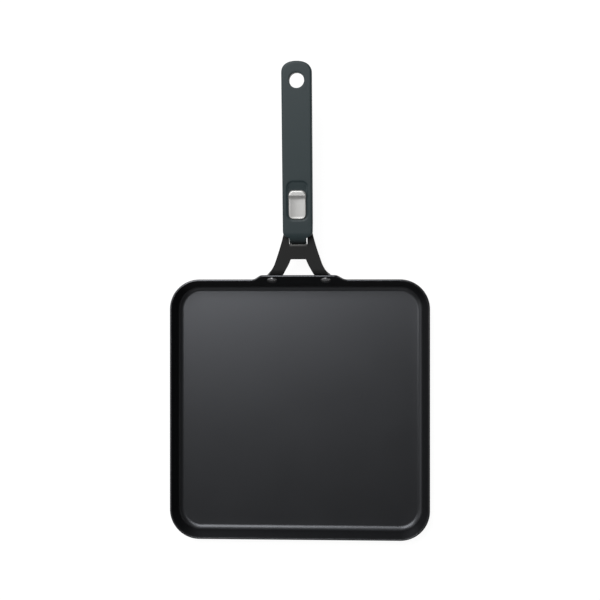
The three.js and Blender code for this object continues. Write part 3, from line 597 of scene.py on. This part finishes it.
zinc, link = new_finish("zinc_plated_steel")
spangle = link.noise(260, 3)
scratch = link.noise(900, 2, (1, 0.08, 1))
link.principled({
    "Base Color": link.blend(spangle, ZINC_DULL, ZINC_BRIGHT),
    "Metallic": 1.0,
    "Roughness": 0.3 + 0.2 * scratch,
    "Normal": link.bump(scratch, 0.004),
})


def steel_copy(node, width):
    """A copy of a solid's mesh, welded, and with its edges broken if there is a width."""
    piece = bpy.data.objects.new(node + "_steel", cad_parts[node].data.copy())
    bpy.context.scene.collection.objects.link(piece)
    work = bmesh.new()
    work.from_mesh(piece.data)
    bmesh.ops.remove_doubles(work, verts=work.verts, dist=WELD)
    work.to_mesh(piece.data)
    work.free()
    piece.data.shade_smooth()
    piece.data.set_sharp_from_angle(angle=SHARP_ANGLE)
    piece.data.materials.clear()
    piece.data.materials.append(zinc)
    if width:
        bevelled(piece, "broken_edges", width, STEEL_ANGLE)
    return piece


inner_steel = (
    ("handle_core", "pan", CORE_BREAK), ("core_screw_front", "pan", 0), ("core_screw_rear", "pan", 0),
    ("shell_screw_front", "pan", 0), ("shell_screw_rear", "pan", 0),
    ("latch_bolt", "latch", BOLT_BREAK), ("button_screw", "latch", 0),
)
for node, body, width in inner_steel:
    piece = steel_copy(node, width)
    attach(piece, body)
    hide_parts(node)


# Latch spring: a coil of steel wire between the bolt and the lower shell.

WIRE_RADIUS = 0.4
COIL_RADIUS = 2.1
COIL_TURNS = 9
COIL_FRONT = 51.6
COIL_LENGTH = 23.0
COIL_MIDDLE = -2.4
COIL_STEPS = 32
WIRE_STEPS = 13


def coil_grid():
    """A wire carried round a helix along the handle: a circle in the plane of the radius and the axis."""
    turn = np.linspace(0, 2 * np.pi * COIL_TURNS, COIL_TURNS * COIL_STEPS + 1)[:, None]
    round_wire = np.linspace(0, 2 * np.pi, WIRE_STEPS)
    size = WIRE_RADIUS * np.ones_like(turn)
    size[[0, -1]] = 0
    reach = COIL_RADIUS + size * np.cos(round_wire)
    start = COIL_FRONT + WIRE_RADIUS
    along = start + turn / turn[-1] * (COIL_LENGTH - 2 * WIRE_RADIUS) + size * np.sin(round_wire)
    return np.stack([reach * np.cos(turn), along, COIL_MIDDLE + reach * np.sin(turn)], -1)


spring = surface_piece("coil_spring", [placed(coil_grid(), handle_origin, HANDLE_LEAN)], zinc)
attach(spring, "pan")
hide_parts("latch_spring")
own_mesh(spring)


# Upper shell of the grip: moulded blue-grey plastic, hollow below, with a lip that falls into
# the bracket's window and has painted shade on its end, a pocket with a slot for the thumb slide, and the
# hanging hole in its rear end.

GRIP_HALF = 15.65
GRIP_END = 189.1
GRIP_FRONT = 7.3
GRIP_CORNER = 7.0
GRIP_TIP = 11.9
TIP_POWER = 2.3
GRIP_TOP = 9.0
GRIP_EDGE = 2.0
GRIP_WALL = 2.8
CEILING = 5.0
LIP_HALF = 8.95
LIP_FRONT = 0.08
LIP_BACK = 2.6
LIP_LOW = -2.0
LIP_CORNER = 0.25
LIP_EDGE = 0.5
LIP_ROOT = 1.0
LIP_ROOM = 3.2
STEP_SIDE = 0.02
LIP_ROWS = (1.6, 2.1, LIP_BACK - STEP_SIDE, LIP_BACK + STEP_SIDE, 3.4, 4.4, 5.4)
LIP_STEP = LIP_BACK + STEP_SIDE / 2
HOOK_END = 6.4
PLATE_START = 7.4
ROOF_START = 9.0
EDGE_START = 6.0
EDGE_RUN = 3.5
WALL_RUN = 3.2
NOSE_BACK = 13.0
PLATE_ROOM = 0.3
PARTING = -2.8
NOTCH_BACK = 17.8
NOTCH_END = 21.8
HOLE_PLACE = 169.6
HOLE_RADIUS = 7.9
HOLE_EDGE = 0.7
POCKET_HALF = 10.3
POCKET_FRONT = 26.4
POCKET_BACK = 65.7
POCKET_CORNER = 5.8
POCKET_FLOOR = 8.2
POCKET_SLOPE = (1.8, -0.7)
POCKET_LOW = 7.4
POCKET_RAMP = (57.6, 64.0)
SLOT_HALF = 3.4
SLOT_FRONT = 30.7
SLOT_BACK = 46.5
SLOT_CORNER = 0.6
POCKET_PATCH = (20.0, 72.0)
HOLE_PATCH = 155.0
GRIP_COLUMNS = 17
NOSE_ROWS = 4
POCKET_ROWS = 40
MIDDLE_ROWS = 24
HOLE_ROWS = 12
LIP_CORNER_STEPS = 7
LIP_ROOT_STEPS = 8
GRIP_CORNER_STEPS = 20
TIP_ARC_STEPS = 30
GRIP_EDGE_STEPS = 9
SIDE_SHARES = (0.33, 0.67, 1.0)
ROLL_STEPS = 6
SLOPE_STEPS = 15
POCKET_RINGS = 3
FLOOR_RINGS = 6
CEILING_RINGS = 5
HOLE_RINGS = 6
HOLE_CEILING_RINGS = 4
# Painted shade on the lip's end in the bracket's window: where it starts, its fade in centimetres, and its
# colour.
LIP_SHADE_PLACE = float(handle_origin[1])
LIP_SHADE_BAND = (0.05, 0.5)
PAINTED_LIP_SHADE = (0.0015, 0.0018, 0.0019, 1)
PLASTIC_BASE = (0.0098, 0.0200, 0.0228, 1)
PLASTIC_PALE = (0.0126, 0.0246, 0.0276, 1)


def arc(centre, radius, start, end, steps, bulge=1):
    """Points on a circle between two angles in degrees, as x, y and outward normal. A bulge of -1 makes it
    hollow."""
    turn = np.radians(np.linspace(start, end, steps))
    normal = np.stack([np.cos(turn), np.sin(turn)], -1)
    return np.concatenate([np.array(centre) + radius * normal, bulge * normal], -1)


def straight(x, places):
    """Points along a straight side at x, as x, y and outward normal."""
    places = np.asarray(places, float)
    return np.stack([0 * places + x, places, 0 * places + 1, 0 * places], -1)


def grip_end():
    """The round rear end from the side to the tip: a superellipse with its gradient as the normal."""
    turn = np.linspace(0, np.pi / 2, TIP_ARC_STEPS)
    across = np.cos(turn).clip(0) ** (2 / TIP_POWER)
    along = np.sin(turn) ** (2 / TIP_POWER)
    across[-1] = 0
    slope = np.stack([across ** (TIP_POWER - 1) / GRIP_HALF, along ** (TIP_POWER - 1) / GRIP_TIP], -1)
    slope /= np.linalg.norm(slope, axis=-1, keepdims=True)
    places = np.stack([GRIP_HALF * across, GRIP_END - GRIP_TIP + GRIP_TIP * along], -1)
    return np.concatenate([places, slope], -1)


def inset(half, depth):
    """The half outline drawn in along its normals, as x and y."""
    return half[:, :2] - half[:, 2:] * np.broadcast_to(depth, len(half))[:, None]


def row_across(point, columns):
    """A row across a shape from a point of its half outline to the mirror image of that point."""
    across = columns(point[0])
    return np.stack([across, 0 * across + point[1]], -1)


def closed_ring(half, columns):
    """A half outline, the rows across both its ends, its mirror image and the first point again."""
    front = row_across(half[0], columns)
    rear = row_across(half[-1], columns)[::-1]
    return np.concatenate([front, half, rear, half[::-1] * (-1, 1), front[:1]])


def round_ring(values, columns):
    """A value at each point of a half outline, carried to every point of its closed ring."""
    return closed_ring(np.stack([values, values], -1), columns)[:, 1]


def deck(half, first, last, columns):
    """The rows across a shape between two points of its half outline."""
    return np.stack([row_across(point, columns) for point in half[first:last + 1]])


def patch_ring(half, first, last, columns):
    """The closed border of such rows: right side, last row, left side, first row."""
    right = half[first:last + 1]
    back = row_across(half[last], columns)[::-1]
    front = row_across(half[first], columns)
    return np.concatenate([right, back, right[::-1] * (-1, 1), front, right[:1]])


def opening_ring(ring, opening, grow):
    """The point of a round-cornered opening nearest to each point of a ring: the opening's straight core,
    plus its corner radius and the growth along the line between them."""
    half_width, front, back, corner = opening
    core = np.stack([
        np.clip(ring[:, 0], corner - half_width, half_width - corner),
        np.clip(ring[:, 1], front + corner, back - corner),
    ], -1)
    away = ring - core
    return core + (corner + grow) * away / np.linalg.norm(away, axis=-1, keepdims=True)


def between(first, last, steps):
    """Rings that go evenly from one to the other, both included."""
    share = np.linspace(0, 1, steps)[:, None, None]
    return list(first + share * (last - first))


def rolled_edge(border, opening, edge, count, level, inward):
    """Rings and heights from a patch's border to an opening, with a quarter circle over its edge. The level
    gives the height at a place; inward is -1 where the edge falls into the opening and 1 where it rises."""
    rings = between(border, opening_ring(border, opening, edge), count)
    heights = [level(ring[:, 1]) for ring in rings]
    for turn in np.linspace(0, np.pi / 2, ROLL_STEPS):
        ring = opening_ring(border, opening, edge * (1 - np.sin(turn)))
        rings.append(ring)
        heights.append(level(ring[:, 1]) + inward * edge * (1 - np.cos(turn)))
    return rings, heights


def lifted(rings, heights):
    """Rings or rows in plan with their heights, placed in the handle's frame."""
    rings = np.asarray(rings)
    heights = np.broadcast_to(np.asarray(heights, float), rings.shape[:-1])
    return placed(np.concatenate([rings, heights[..., None]], -1), handle_origin, HANDLE_LEAN)


def nose(place):
    """Height of the top: level, and in front of the nose's back a quarter ellipse down to the lip's end."""
    fall = np.clip((NOSE_BACK - place) / (NOSE_BACK - LIP_FRONT), 0, 1)
    return LIP_LOW + (GRIP_TOP - LIP_LOW) * np.sqrt(1 - fall ** 2)


def shell_low(place):
    """Height of the shell's lower edge: the lip's end, the room for the hook, the plate, and the parting
    line, joined by straight lines."""
    places = (0, LIP_BACK, LIP_STEP, HOOK_END, PLATE_START, NOTCH_BACK, NOTCH_END)
    return np.interp(place, places, (LIP_LOW, LIP_LOW, LIP_ROOM, LIP_ROOM, PLATE_ROOM, PLATE_ROOM, PARTING))


def shell_roof(place):
    """Height of the hollow's ceiling: the lip's underside in front, then level."""
    places = (0, LIP_BACK, LIP_STEP, HOOK_END, ROOF_START)
    return np.interp(place, places, (LIP_LOW, LIP_LOW, LIP_ROOM, LIP_ROOM, CEILING))


def pocket_wall(share):
    """Height of the pocket's sloped wall at a share of its run: three squares less two cubes of it."""
    return GRIP_TOP - (GRIP_TOP - POCKET_FLOOR) * share ** 2 * (3 - 2 * share)


def pocket_floor(place):
    """Height of the pocket's floor: low round the slide, and behind it a smooth step up to the sloped
    wall's foot."""
    start, end = POCKET_RAMP
    return POCKET_LOW + (POCKET_FLOOR - POCKET_LOW) * smooth_step((place - start) / (end - start))


def even_columns(width):
    """Places across the grip, evenly spaced."""
    return width * np.linspace(-1, 1, GRIP_COLUMNS)


plastic, link = new_finish("moulded_grip_plastic")
texture = link.noise(2300, 2)
ripple = link.noise(620, 2)
haze = link.noise(26, 3)
place_seen = link.node("TexCoord", {}, {}, "Object")
from_crossbar = link.node("SeparateXYZ", {}, {"Vector": place_seen}, "Y") * 100 - LIP_SHADE_PLACE / 10
# Painted shade: the lip's end, within half a centimetre of the crossbar, is darkened as if in the window's
# shade.
lip_shade = 1 - link.step(from_crossbar, *LIP_SHADE_BAND)
colour = link.blend(0.7 * haze + 0.25 * texture, PLASTIC_BASE, PLASTIC_PALE)
link.principled({
    "Base Color": link.blend(lip_shade * 0.9, colour, PAINTED_LIP_SHADE),
    "Roughness": 0.45 + 0.1 * texture + 0.06 * haze,
    "Specular IOR Level": 0.4,
    "Normal": link.bump(texture + 0.6 * ripple, 0.012),
})

root_across = LIP_HALF + LIP_ROOT - GRIP_HALF + GRIP_CORNER
root_place = GRIP_FRONT + GRIP_CORNER - np.sqrt((GRIP_CORNER + LIP_ROOT) ** 2 - root_across ** 2)
corner_centre = (GRIP_HALF - GRIP_CORNER, GRIP_FRONT + GRIP_CORNER)
root_centre = (LIP_HALF + LIP_ROOT, root_place)
root_turn = np.degrees(np.arctan2(corner_centre[1] - root_place, corner_centre[0] - root_centre[0]))
side_places = np.concatenate([
    np.linspace(GRIP_FRONT + GRIP_CORNER, POCKET_PATCH[0], NOSE_ROWS)[1:-1],
    np.linspace(*POCKET_PATCH, POCKET_ROWS),
    np.linspace(POCKET_PATCH[1], HOLE_PATCH, MIDDLE_ROWS)[1:-1],
    np.linspace(HOLE_PATCH, GRIP_END - GRIP_TIP, HOLE_ROWS)[:-1],
])
upper_half = np.concatenate([
    arc((LIP_HALF - LIP_CORNER, LIP_FRONT + LIP_CORNER), LIP_CORNER, -90, 0, LIP_CORNER_STEPS),
    straight(LIP_HALF, LIP_ROWS),
    arc(root_centre, LIP_ROOT, 180, root_turn, LIP_ROOT_STEPS, -1),
    arc(corner_centre, GRIP_CORNER, root_turn - 180, 0, GRIP_CORNER_STEPS),
    straight(GRIP_HALF, side_places),
    grip_end(),
])
edge_size = LIP_EDGE + (GRIP_EDGE - LIP_EDGE) * smooth_step((upper_half[:, 1] - EDGE_START) / EDGE_RUN)
wall_size = GRIP_WALL * np.clip((upper_half[:, 1] - HOOK_END) / WALL_RUN, 0, 1)
pocket_first, pocket_last, hole_first = np.searchsorted(upper_half[:, 1], (*POCKET_PATCH, HOLE_PATCH))
rear = len(upper_half) - 1

rings = []
heights = []
for turn in np.linspace(0, np.pi / 2, GRIP_EDGE_STEPS)[::-1]:
    ring = closed_ring(inset(upper_half, edge_size * (1 - np.cos(turn))), even_columns)
    drop = round_ring(edge_size, even_columns) * (1 - np.sin(turn))
    rings.append(ring)
    heights.append(np.maximum(nose(ring[:, 1]) - drop, shell_low(ring[:, 1])))
side_ring = rings[-1]
side_top = heights[-1]
for share in SIDE_SHARES:
    rings.append(side_ring)
    heights.append(side_top + share * (shell_low(side_ring[:, 1]) - side_top))
wall_ring = closed_ring(inset(upper_half, wall_size), even_columns)
rings += [wall_ring, wall_ring]
heights += [shell_low(wall_ring[:, 1]), shell_roof(wall_ring[:, 1])]
upper_grids = [lifted(rings, heights)]

top_half = inset(upper_half, edge_size)
under_half = inset(upper_half, wall_size)
for half, height_at in ((top_half, nose), (under_half, shell_roof)):
    for first, last in ((0, pocket_first), (pocket_last, hole_first)):
        rows = deck(half, first, last, even_columns)
        upper_grids.append(lifted(rows, height_at(rows[..., 1])))

pocket = (POCKET_HALF, POCKET_FRONT, POCKET_BACK, POCKET_CORNER)
slot = (SLOT_HALF, SLOT_FRONT, SLOT_BACK, SLOT_CORNER)
border = patch_ring(top_half, pocket_first, pocket_last, even_columns)
under_border = patch_ring(under_half, pocket_first, pocket_last, even_columns)
slope = np.linspace(0, 1, SLOPE_STEPS)
rings = between(border, opening_ring(border, pocket, POCKET_SLOPE[0]), POCKET_RINGS)
heights = [GRIP_TOP] * POCKET_RINGS
rings += [opening_ring(border, pocket, np.interp(s, (0, 1), POCKET_SLOPE)) for s in slope]
heights += [pocket_wall(s) for s in slope]
slot_ring = opening_ring(border, slot, 0)
floor_rings = between(opening_ring(border, pocket, POCKET_SLOPE[1]), slot_ring, FLOOR_RINGS)
rings += floor_rings
heights += [pocket_floor(ring[:, 1]) for ring in floor_rings]
rings += between(slot_ring, under_border, CEILING_RINGS)
heights += [CEILING] * CEILING_RINGS
upper_grids.append(lifted(rings, [height + 0 * border[:, 0] for height in heights]))

hanging_hole = (HOLE_RADIUS, HOLE_PLACE - HOLE_RADIUS, HOLE_PLACE + HOLE_RADIUS, HOLE_RADIUS)
border = patch_ring(top_half, hole_first, rear, even_columns)
under_border = patch_ring(under_half, hole_first, rear, even_columns)
rings, heights = rolled_edge(border, hanging_hole, HOLE_EDGE, HOLE_RINGS, nose, -1)
rings += [opening_ring(border, hanging_hole, grow) for grow in (0, 0, GRIP_WALL)]
heights += [CEILING, PARTING, PARTING]
rings += between(opening_ring(border, hanging_hole, GRIP_WALL), under_border, HOLE_CEILING_RINGS)
heights += [CEILING] * HOLE_CEILING_RINGS
upper_grids.append(lifted(rings, [height + 0 * border[:, 0] for height in heights]))

upper_shell = surface_piece("grip_upper", upper_grids, plastic)
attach(upper_shell, "pan")
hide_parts("grip_upper_shell")


# Lower shell of the grip: the same plastic, rounded for the fingers, closed on the upper shell by two screws
# in sunk bores. A channel in its front holds the bolt and the spring.

LOWER_FRONT = 29.3
LOWER_CORNER = 6.0
LOWER_PARTING = -3.1
UNDERSIDE = -7.8
UNDERSIDE_RISE = 2.5
UNDERSIDE_EDGE = 5.0
CHANNEL_HALF = 6.4
CHANNEL_END = 74.9
CHANNEL_FLOOR = -5.2
SCREW_PLACES = (86.9, 149.6)
BORE_RADIUS = 3.1
BORE_EDGE = 0.35
BORE_END = LOWER_PARTING - 0.15
BORE_PATCH = (-7.0, 5.5)
LOWER_HOLE_PATCH = 157.0
NARROW_CHANNEL = 0.62
WING_COLUMNS = 5
CHANNEL_COLUMNS = 9
BORE_RINGS = 5
PARTING_RINGS = 4
LOWER_EDGE_STEPS = 15
LOWER_CORNER_STEPS = 14
ROW_SPACING = 2.2
JUST = 1e-6


def underside(place):
    """Height of the grip's underside: it climbs evenly to the rear."""
    return UNDERSIDE + UNDERSIDE_RISE * (place - LOWER_FRONT) / (GRIP_END - LOWER_FRONT)


def channel_columns(width):
    """Places across: even between the sides and the channel, double on its edges, even inside it."""
    channel = min(CHANNEL_HALF, NARROW_CHANNEL * width)
    wing = channel + (width - channel) * np.linspace(0, 1, WING_COLUMNS)
    return np.concatenate([-wing[::-1], channel * np.linspace(-1, 1, CHANNEL_COLUMNS), wing])


columns_in_channel = np.zeros(WING_COLUMNS + CHANNEL_COLUMNS + WING_COLUMNS, bool)
columns_in_channel[WING_COLUMNS:WING_COLUMNS + CHANNEL_COLUMNS] = True
screw_rows = [(screw + BORE_PATCH[0], screw + BORE_PATCH[1]) for screw in SCREW_PLACES]
stops = (
    LOWER_FRONT + LOWER_CORNER, CHANNEL_END - STEP_SIDE, CHANNEL_END + STEP_SIDE,
    *screw_rows[0], *screw_rows[1], LOWER_HOLE_PATCH, GRIP_END - GRIP_TIP,
)
side_places = np.concatenate([
    np.linspace(low, high, max(2, int((high - low) / ROW_SPACING)))[:-1]
    for low, high in zip(stops[:-1], stops[1:])
])
lower_half = np.concatenate([
    arc((GRIP_HALF - LOWER_CORNER, LOWER_FRONT + LOWER_CORNER), LOWER_CORNER, -90, 0, LOWER_CORNER_STEPS),
    straight(GRIP_HALF, side_places[1:]),
    grip_end(),
])
rear = len(lower_half) - 1
bore_firsts = np.searchsorted(lower_half[:, 1], [low - JUST for low, high in screw_rows])
bore_lasts = np.searchsorted(lower_half[:, 1], [high - JUST for low, high in screw_rows])
hole_first = np.searchsorted(lower_half[:, 1], LOWER_HOLE_PATCH - JUST)
channel_last = np.searchsorted(lower_half[:, 1], CHANNEL_END)

rim = closed_ring(lower_half[:, :2], channel_columns)
mouth = np.zeros(len(rim), bool)
mouth[:len(columns_in_channel)] = columns_in_channel
rim_high = np.where(mouth, CHANNEL_FLOOR, LOWER_PARTING)
rings = []
heights = []
for turn in np.linspace(np.pi / 2, 0, LOWER_EDGE_STEPS):
    ring = closed_ring(inset(lower_half, UNDERSIDE_EDGE * (1 - np.sin(turn))), channel_columns)
    rings.append(ring)
    heights.append(rim_high + (underside(ring[:, 1]) - rim_high) * np.cos(turn))
lower_grids = [lifted(rings, heights)]

low_half = inset(lower_half, UNDERSIDE_EDGE)
deck_stops = [0, bore_firsts[0], bore_lasts[0], bore_firsts[1], bore_lasts[1], hole_first]
for first, last in zip(deck_stops[0::2], deck_stops[1::2]):
    rows = deck(low_half, first, last, channel_columns)
    lower_grids.append(lifted(rows, underside(rows[..., 1])))
rows = deck(lower_half[:, :2], 0, hole_first, channel_columns)
in_channel = columns_in_channel & (np.arange(len(rows)) < channel_last)[:, None]
lower_grids.append(lifted(rows, np.where(in_channel, CHANNEL_FLOOR, LOWER_PARTING)))

for screw, first, last in zip(SCREW_PLACES, bore_firsts, bore_lasts):
    bore = (BORE_RADIUS, screw - BORE_RADIUS, screw + BORE_RADIUS, BORE_RADIUS)
    border = patch_ring(low_half, first, last, channel_columns)
    rings, heights = rolled_edge(border, bore, BORE_EDGE, BORE_RINGS, underside, 1)
    rings += [opening_ring(border, bore, grow) for grow in (0, -BORE_RADIUS)]
    heights += [np.full(len(border), BORE_END)] * 2
    lower_grids.append(lifted(rings, heights))

border = patch_ring(low_half, hole_first, rear, channel_columns)
upper_border = patch_ring(lower_half[:, :2], hole_first, rear, channel_columns)
rings, heights = rolled_edge(border, hanging_hole, HOLE_EDGE, HOLE_RINGS, underside, 1)
rings += between(opening_ring(border, hanging_hole, 0), upper_border, PARTING_RINGS)
heights += [np.full(len(border), LOWER_PARTING)] * PARTING_RINGS
lower_grids.append(lifted(rings, heights))

lower_shell = surface_piece("grip_lower", lower_grids, plastic)
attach(lower_shell, "pan")
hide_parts("grip_lower_shell")


# Thumb slide: a pressed and brushed stainless plate with a hollow for the thumb and a rolled ridge behind
# it, screwed to the bolt's post through the slot in the pocket.

SLIDE_FRONT = 27.2
SLIDE_BACK = 57.3
SLIDE_HALF = 9.0
SLIDE_CORNER = 5.0
SLIDE_LOW = 8.3
PAD_TOP = 10.0
PAD_EDGE = 0.9
PAD_DISH = 0.5
PAD_HALF = 7.3
CLIMB_START = 43.5
CLIMB_POWER = 7
RIDGE_FOOT = 50.4
RIDGE_EDGE = 52.0
RIDGE_SLOPE = 0.7
RIDGE_BOW = 0.4
RIDGE_ROUND = 2.0
BACK_RUN = 2.5
FRONT_LIP = 0.34
LIP_RUN = 3.0
UNDER_EDGE = 0.2
SLIDE_COLUMNS = 25
SLIDE_EDGE_STEPS = 12
FRONT_ARC_STEPS = 16
BACK_ARC_STEPS = 20
PAD_ROWS = np.linspace(32.6, 48.4, 16)
RIDGE_ROWS = np.linspace(48.8, RIDGE_EDGE, 12)
STEEL_BRIGHT = (0.50, 0.496, 0.486, 1)
STEEL_SHADE = (0.415, 0.415, 0.408, 1)


def slide_top(across, place):
    """Height of the slide: a parabola's hollow across the pad, a lip that rises as a square at its front,
    and behind the pad a seventh power's climb to the ridge's foot, then a parabola that rounds off to its
    top. The ridge bows forward in the middle by a parabola."""
    ahead = RIDGE_BOW * (1 - (across / SLIDE_HALF) ** 2)
    sweep = np.clip((place + ahead - CLIMB_START) / (RIDGE_FOOT - CLIMB_START), 0, 1)
    round_off = np.clip((place + ahead - RIDGE_FOOT) / (RIDGE_EDGE - RIDGE_FOOT), 0, 1)
    climb = (RIDGE_FOOT - CLIMB_START) * sweep ** CLIMB_POWER / CLIMB_POWER
    climb = climb + (RIDGE_EDGE - RIDGE_FOOT) * (round_off - round_off ** 2 / 2)
    hollow = PAD_DISH * (1 - np.clip(abs(across) / PAD_HALF, 0, 1) ** 2) * (1 - round_off)
    lip = FRONT_LIP * np.clip(1 - (place - SLIDE_FRONT) / LIP_RUN, 0, 1) ** 2
    return PAD_TOP - hollow + RIDGE_SLOPE * climb + lip


steel, link = new_finish("brushed_stainless_steel")
brush = link.noise(1500, 3, (0.05, 1, 1))
cloud = link.noise(120, 2)
link.principled({
    "Base Color": link.blend(0.6 * brush + 0.3 * cloud, STEEL_SHADE, STEEL_BRIGHT),
    "Metallic": 1.0,
    "Roughness": 0.44 + 0.12 * brush,
    "Normal": link.bump(brush, 0.004),
})


def slide_columns(width):
    """Places across the slide, evenly spaced."""
    return width * np.linspace(-1, 1, SLIDE_COLUMNS)


side_middle = SLIDE_HALF - SLIDE_CORNER
slide_half = np.concatenate([
    arc((side_middle, SLIDE_FRONT + SLIDE_CORNER), SLIDE_CORNER, -90, 0, FRONT_ARC_STEPS),
    straight(SLIDE_HALF, np.concatenate([PAD_ROWS, RIDGE_ROWS])),
    arc((side_middle, SLIDE_BACK - SLIDE_CORNER), SLIDE_CORNER, 0, 90, BACK_ARC_STEPS),
])
edge_size = PAD_EDGE + (RIDGE_ROUND - PAD_EDGE) * smooth_step((slide_half[:, 1] - RIDGE_EDGE) / BACK_RUN)
edge_ring = round_ring(edge_size, slide_columns)
slide_under = inset(slide_half, UNDER_EDGE)
rings = []
heights = []
for turn in np.linspace(np.pi / 2, 0, SLIDE_EDGE_STEPS):
    ring = closed_ring(inset(slide_half, edge_size * (1 - np.cos(turn))), slide_columns)
    rings.append(ring)
    heights.append(slide_top(ring[:, 0], ring[:, 1]) - edge_ring * (1 - np.sin(turn)))
rings += [rings[-1], closed_ring(slide_under, slide_columns)]
heights += [0 * edge_ring + SLIDE_LOW + UNDER_EDGE, 0 * edge_ring + SLIDE_LOW]
slide_grids = [lifted(rings, heights)]
rows = deck(inset(slide_half, edge_size), 0, len(slide_half) - 1, slide_columns)
slide_grids.append(lifted(rows, slide_top(rows[..., 0], rows[..., 1])))
rows = deck(slide_under, 0, len(slide_under) - 1, slide_columns)
slide_grids.append(lifted(rows, SLIDE_LOW))
slide = surface_piece("thumb_slide", slide_grids, steel)
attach(slide, "latch")
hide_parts("slide_button")


# Studio: a white sweep whose far border curls up and which keeps a faint soft shadow, a dim room, and five
# soft boxes. The main one hangs high behind the left side of the handle. A row of their table has name,
# heading, tilt, width, height and radiance.

SWEEP_REACH = 15000.0
SWEEP_FLAT = 8000.0
SWEEP_RISE = 2000.0
SWEEP_DROP = 0.05
FLOOR_WHITE = (0.12, 0.12, 0.12, 1)
FLOOR_GLOW = 0.93
ROOM_LEVEL = 0.11
SWEEP_RINGS = 16
SWEEP_STEPS = 65
SOFT_BOXES = (
    ("main_box", 117.2, 26.8, 1.5, 2.0, 8.4),
    ("low_box", 130, 60, 1.4, 1.4, 2.2),
    ("back_box", 90, 55, 2.0, 2.0, 0.8),
    ("left_box", 180, 60, 2.0, 2.2, 1.05),
    ("front_box", 270, 50, 2.2, 1.8, 0.5),
)
BOX_FAR = 3.0
AIM = (0.0, 0.0, 0.02)

floor_finish, link = new_finish("white_sweep")
straight_seen = link.node("LightPath", {}, {}, "Is Camera Ray")
mirrored = link.node("LightPath", {}, {}, "Is Glossy Ray")
through = link.node("LightPath", {}, {}, "Is Transmission Ray")
seen = link.maths("MAXIMUM", straight_seen, link.maths("MAXIMUM", mirrored, through))
matt = link.node("BsdfDiffuse", {}, {"Color": FLOOR_WHITE})
glow = link.node("Emission", {}, {"Color": (1, 1, 1, 1), "Strength": FLOOR_GLOW * seen})
link.surface(link.node("AddShader", {}, {0: matt, 1: glow}))


def sweep_grid():
    """A disc round the object in rings: level, and past the flat part a smooth step up to the border."""
    radius = np.concatenate([[0], np.linspace(SWEEP_FLAT, SWEEP_REACH, SWEEP_RINGS)])[:, None]
    turn = np.linspace(0, 2 * np.pi, SWEEP_STEPS)
    height = SWEEP_RISE * smooth_step((radius - SWEEP_FLAT) / (SWEEP_REACH - SWEEP_FLAT))
    return np.stack([radius * np.cos(turn), radius * np.sin(turn), height + 0 * turn - SWEEP_DROP], -1)


sweep = surface_piece("sweep", [sweep_grid()], floor_finish)

room = bpy.data.worlds.new("dim_room")
room.use_nodes = True
room.node_tree.nodes.clear()
link = Link(room.node_tree)
backdrop = link.node("Background", {}, {"Color": (1, 1, 1, 1), "Strength": ROOM_LEVEL})
link.node("OutputWorld", {}, {"Surface": backdrop}, None)
bpy.context.scene.world = room


def soft_box(name, heading, tilt, width, height, radiance):
    """A lamp turned to the middle of the pan, at a set distance from it: heading in degrees from +X, tilt
    in degrees from straight up. A flat lamp's watts are pi times its area times its radiance."""
    heading = np.radians(heading)
    tilt = np.radians(tilt)
    lamp = bpy.data.lights.new(name, "AREA")
    lamp.shape = "RECTANGLE"
    lamp.size = width
    lamp.size_y = height
    lamp.energy = np.pi * width * height * radiance
    box = bpy.data.objects.new(name, lamp)
    bpy.context.scene.collection.objects.link(box)
    away = np.array([np.sin(tilt) * np.cos(heading), np.sin(tilt) * np.sin(heading), np.cos(tilt)])
    box.location = np.array(AIM) + BOX_FAR * away
    box.rotation_euler = (tilt, 0, heading + np.pi / 2)
    box.visible_camera = False


for box in SOFT_BOXES:
    soft_box(*box)


# Camera: looking down from above, with the handle pointing up the picture. It hangs a little to the right of
# the pan's middle and is turned back to it, and a small shift of the lens does the rest.

CAMERA_PLACE = (0.066, 0.11785, 1.145)
CAMERA_TURN = np.radians(2.5)
CAMERA_LENS = 62.95
CAMERA_SENSOR = 36
CAMERA_SHIFT = -0.0249

lens = bpy.data.cameras.new("camera")
lens.lens = CAMERA_LENS
lens.sensor_width = CAMERA_SENSOR
lens.shift_x = CAMERA_SHIFT
camera = bpy.data.objects.new("camera", lens)
camera.location = CAMERA_PLACE
camera.rotation_euler.y = CAMERA_TURN
bpy.context.scene.collection.objects.link(camera)
bpy.context.scene.camera = camera
bpy.context.scene.view_settings.view_transform = "Standard"
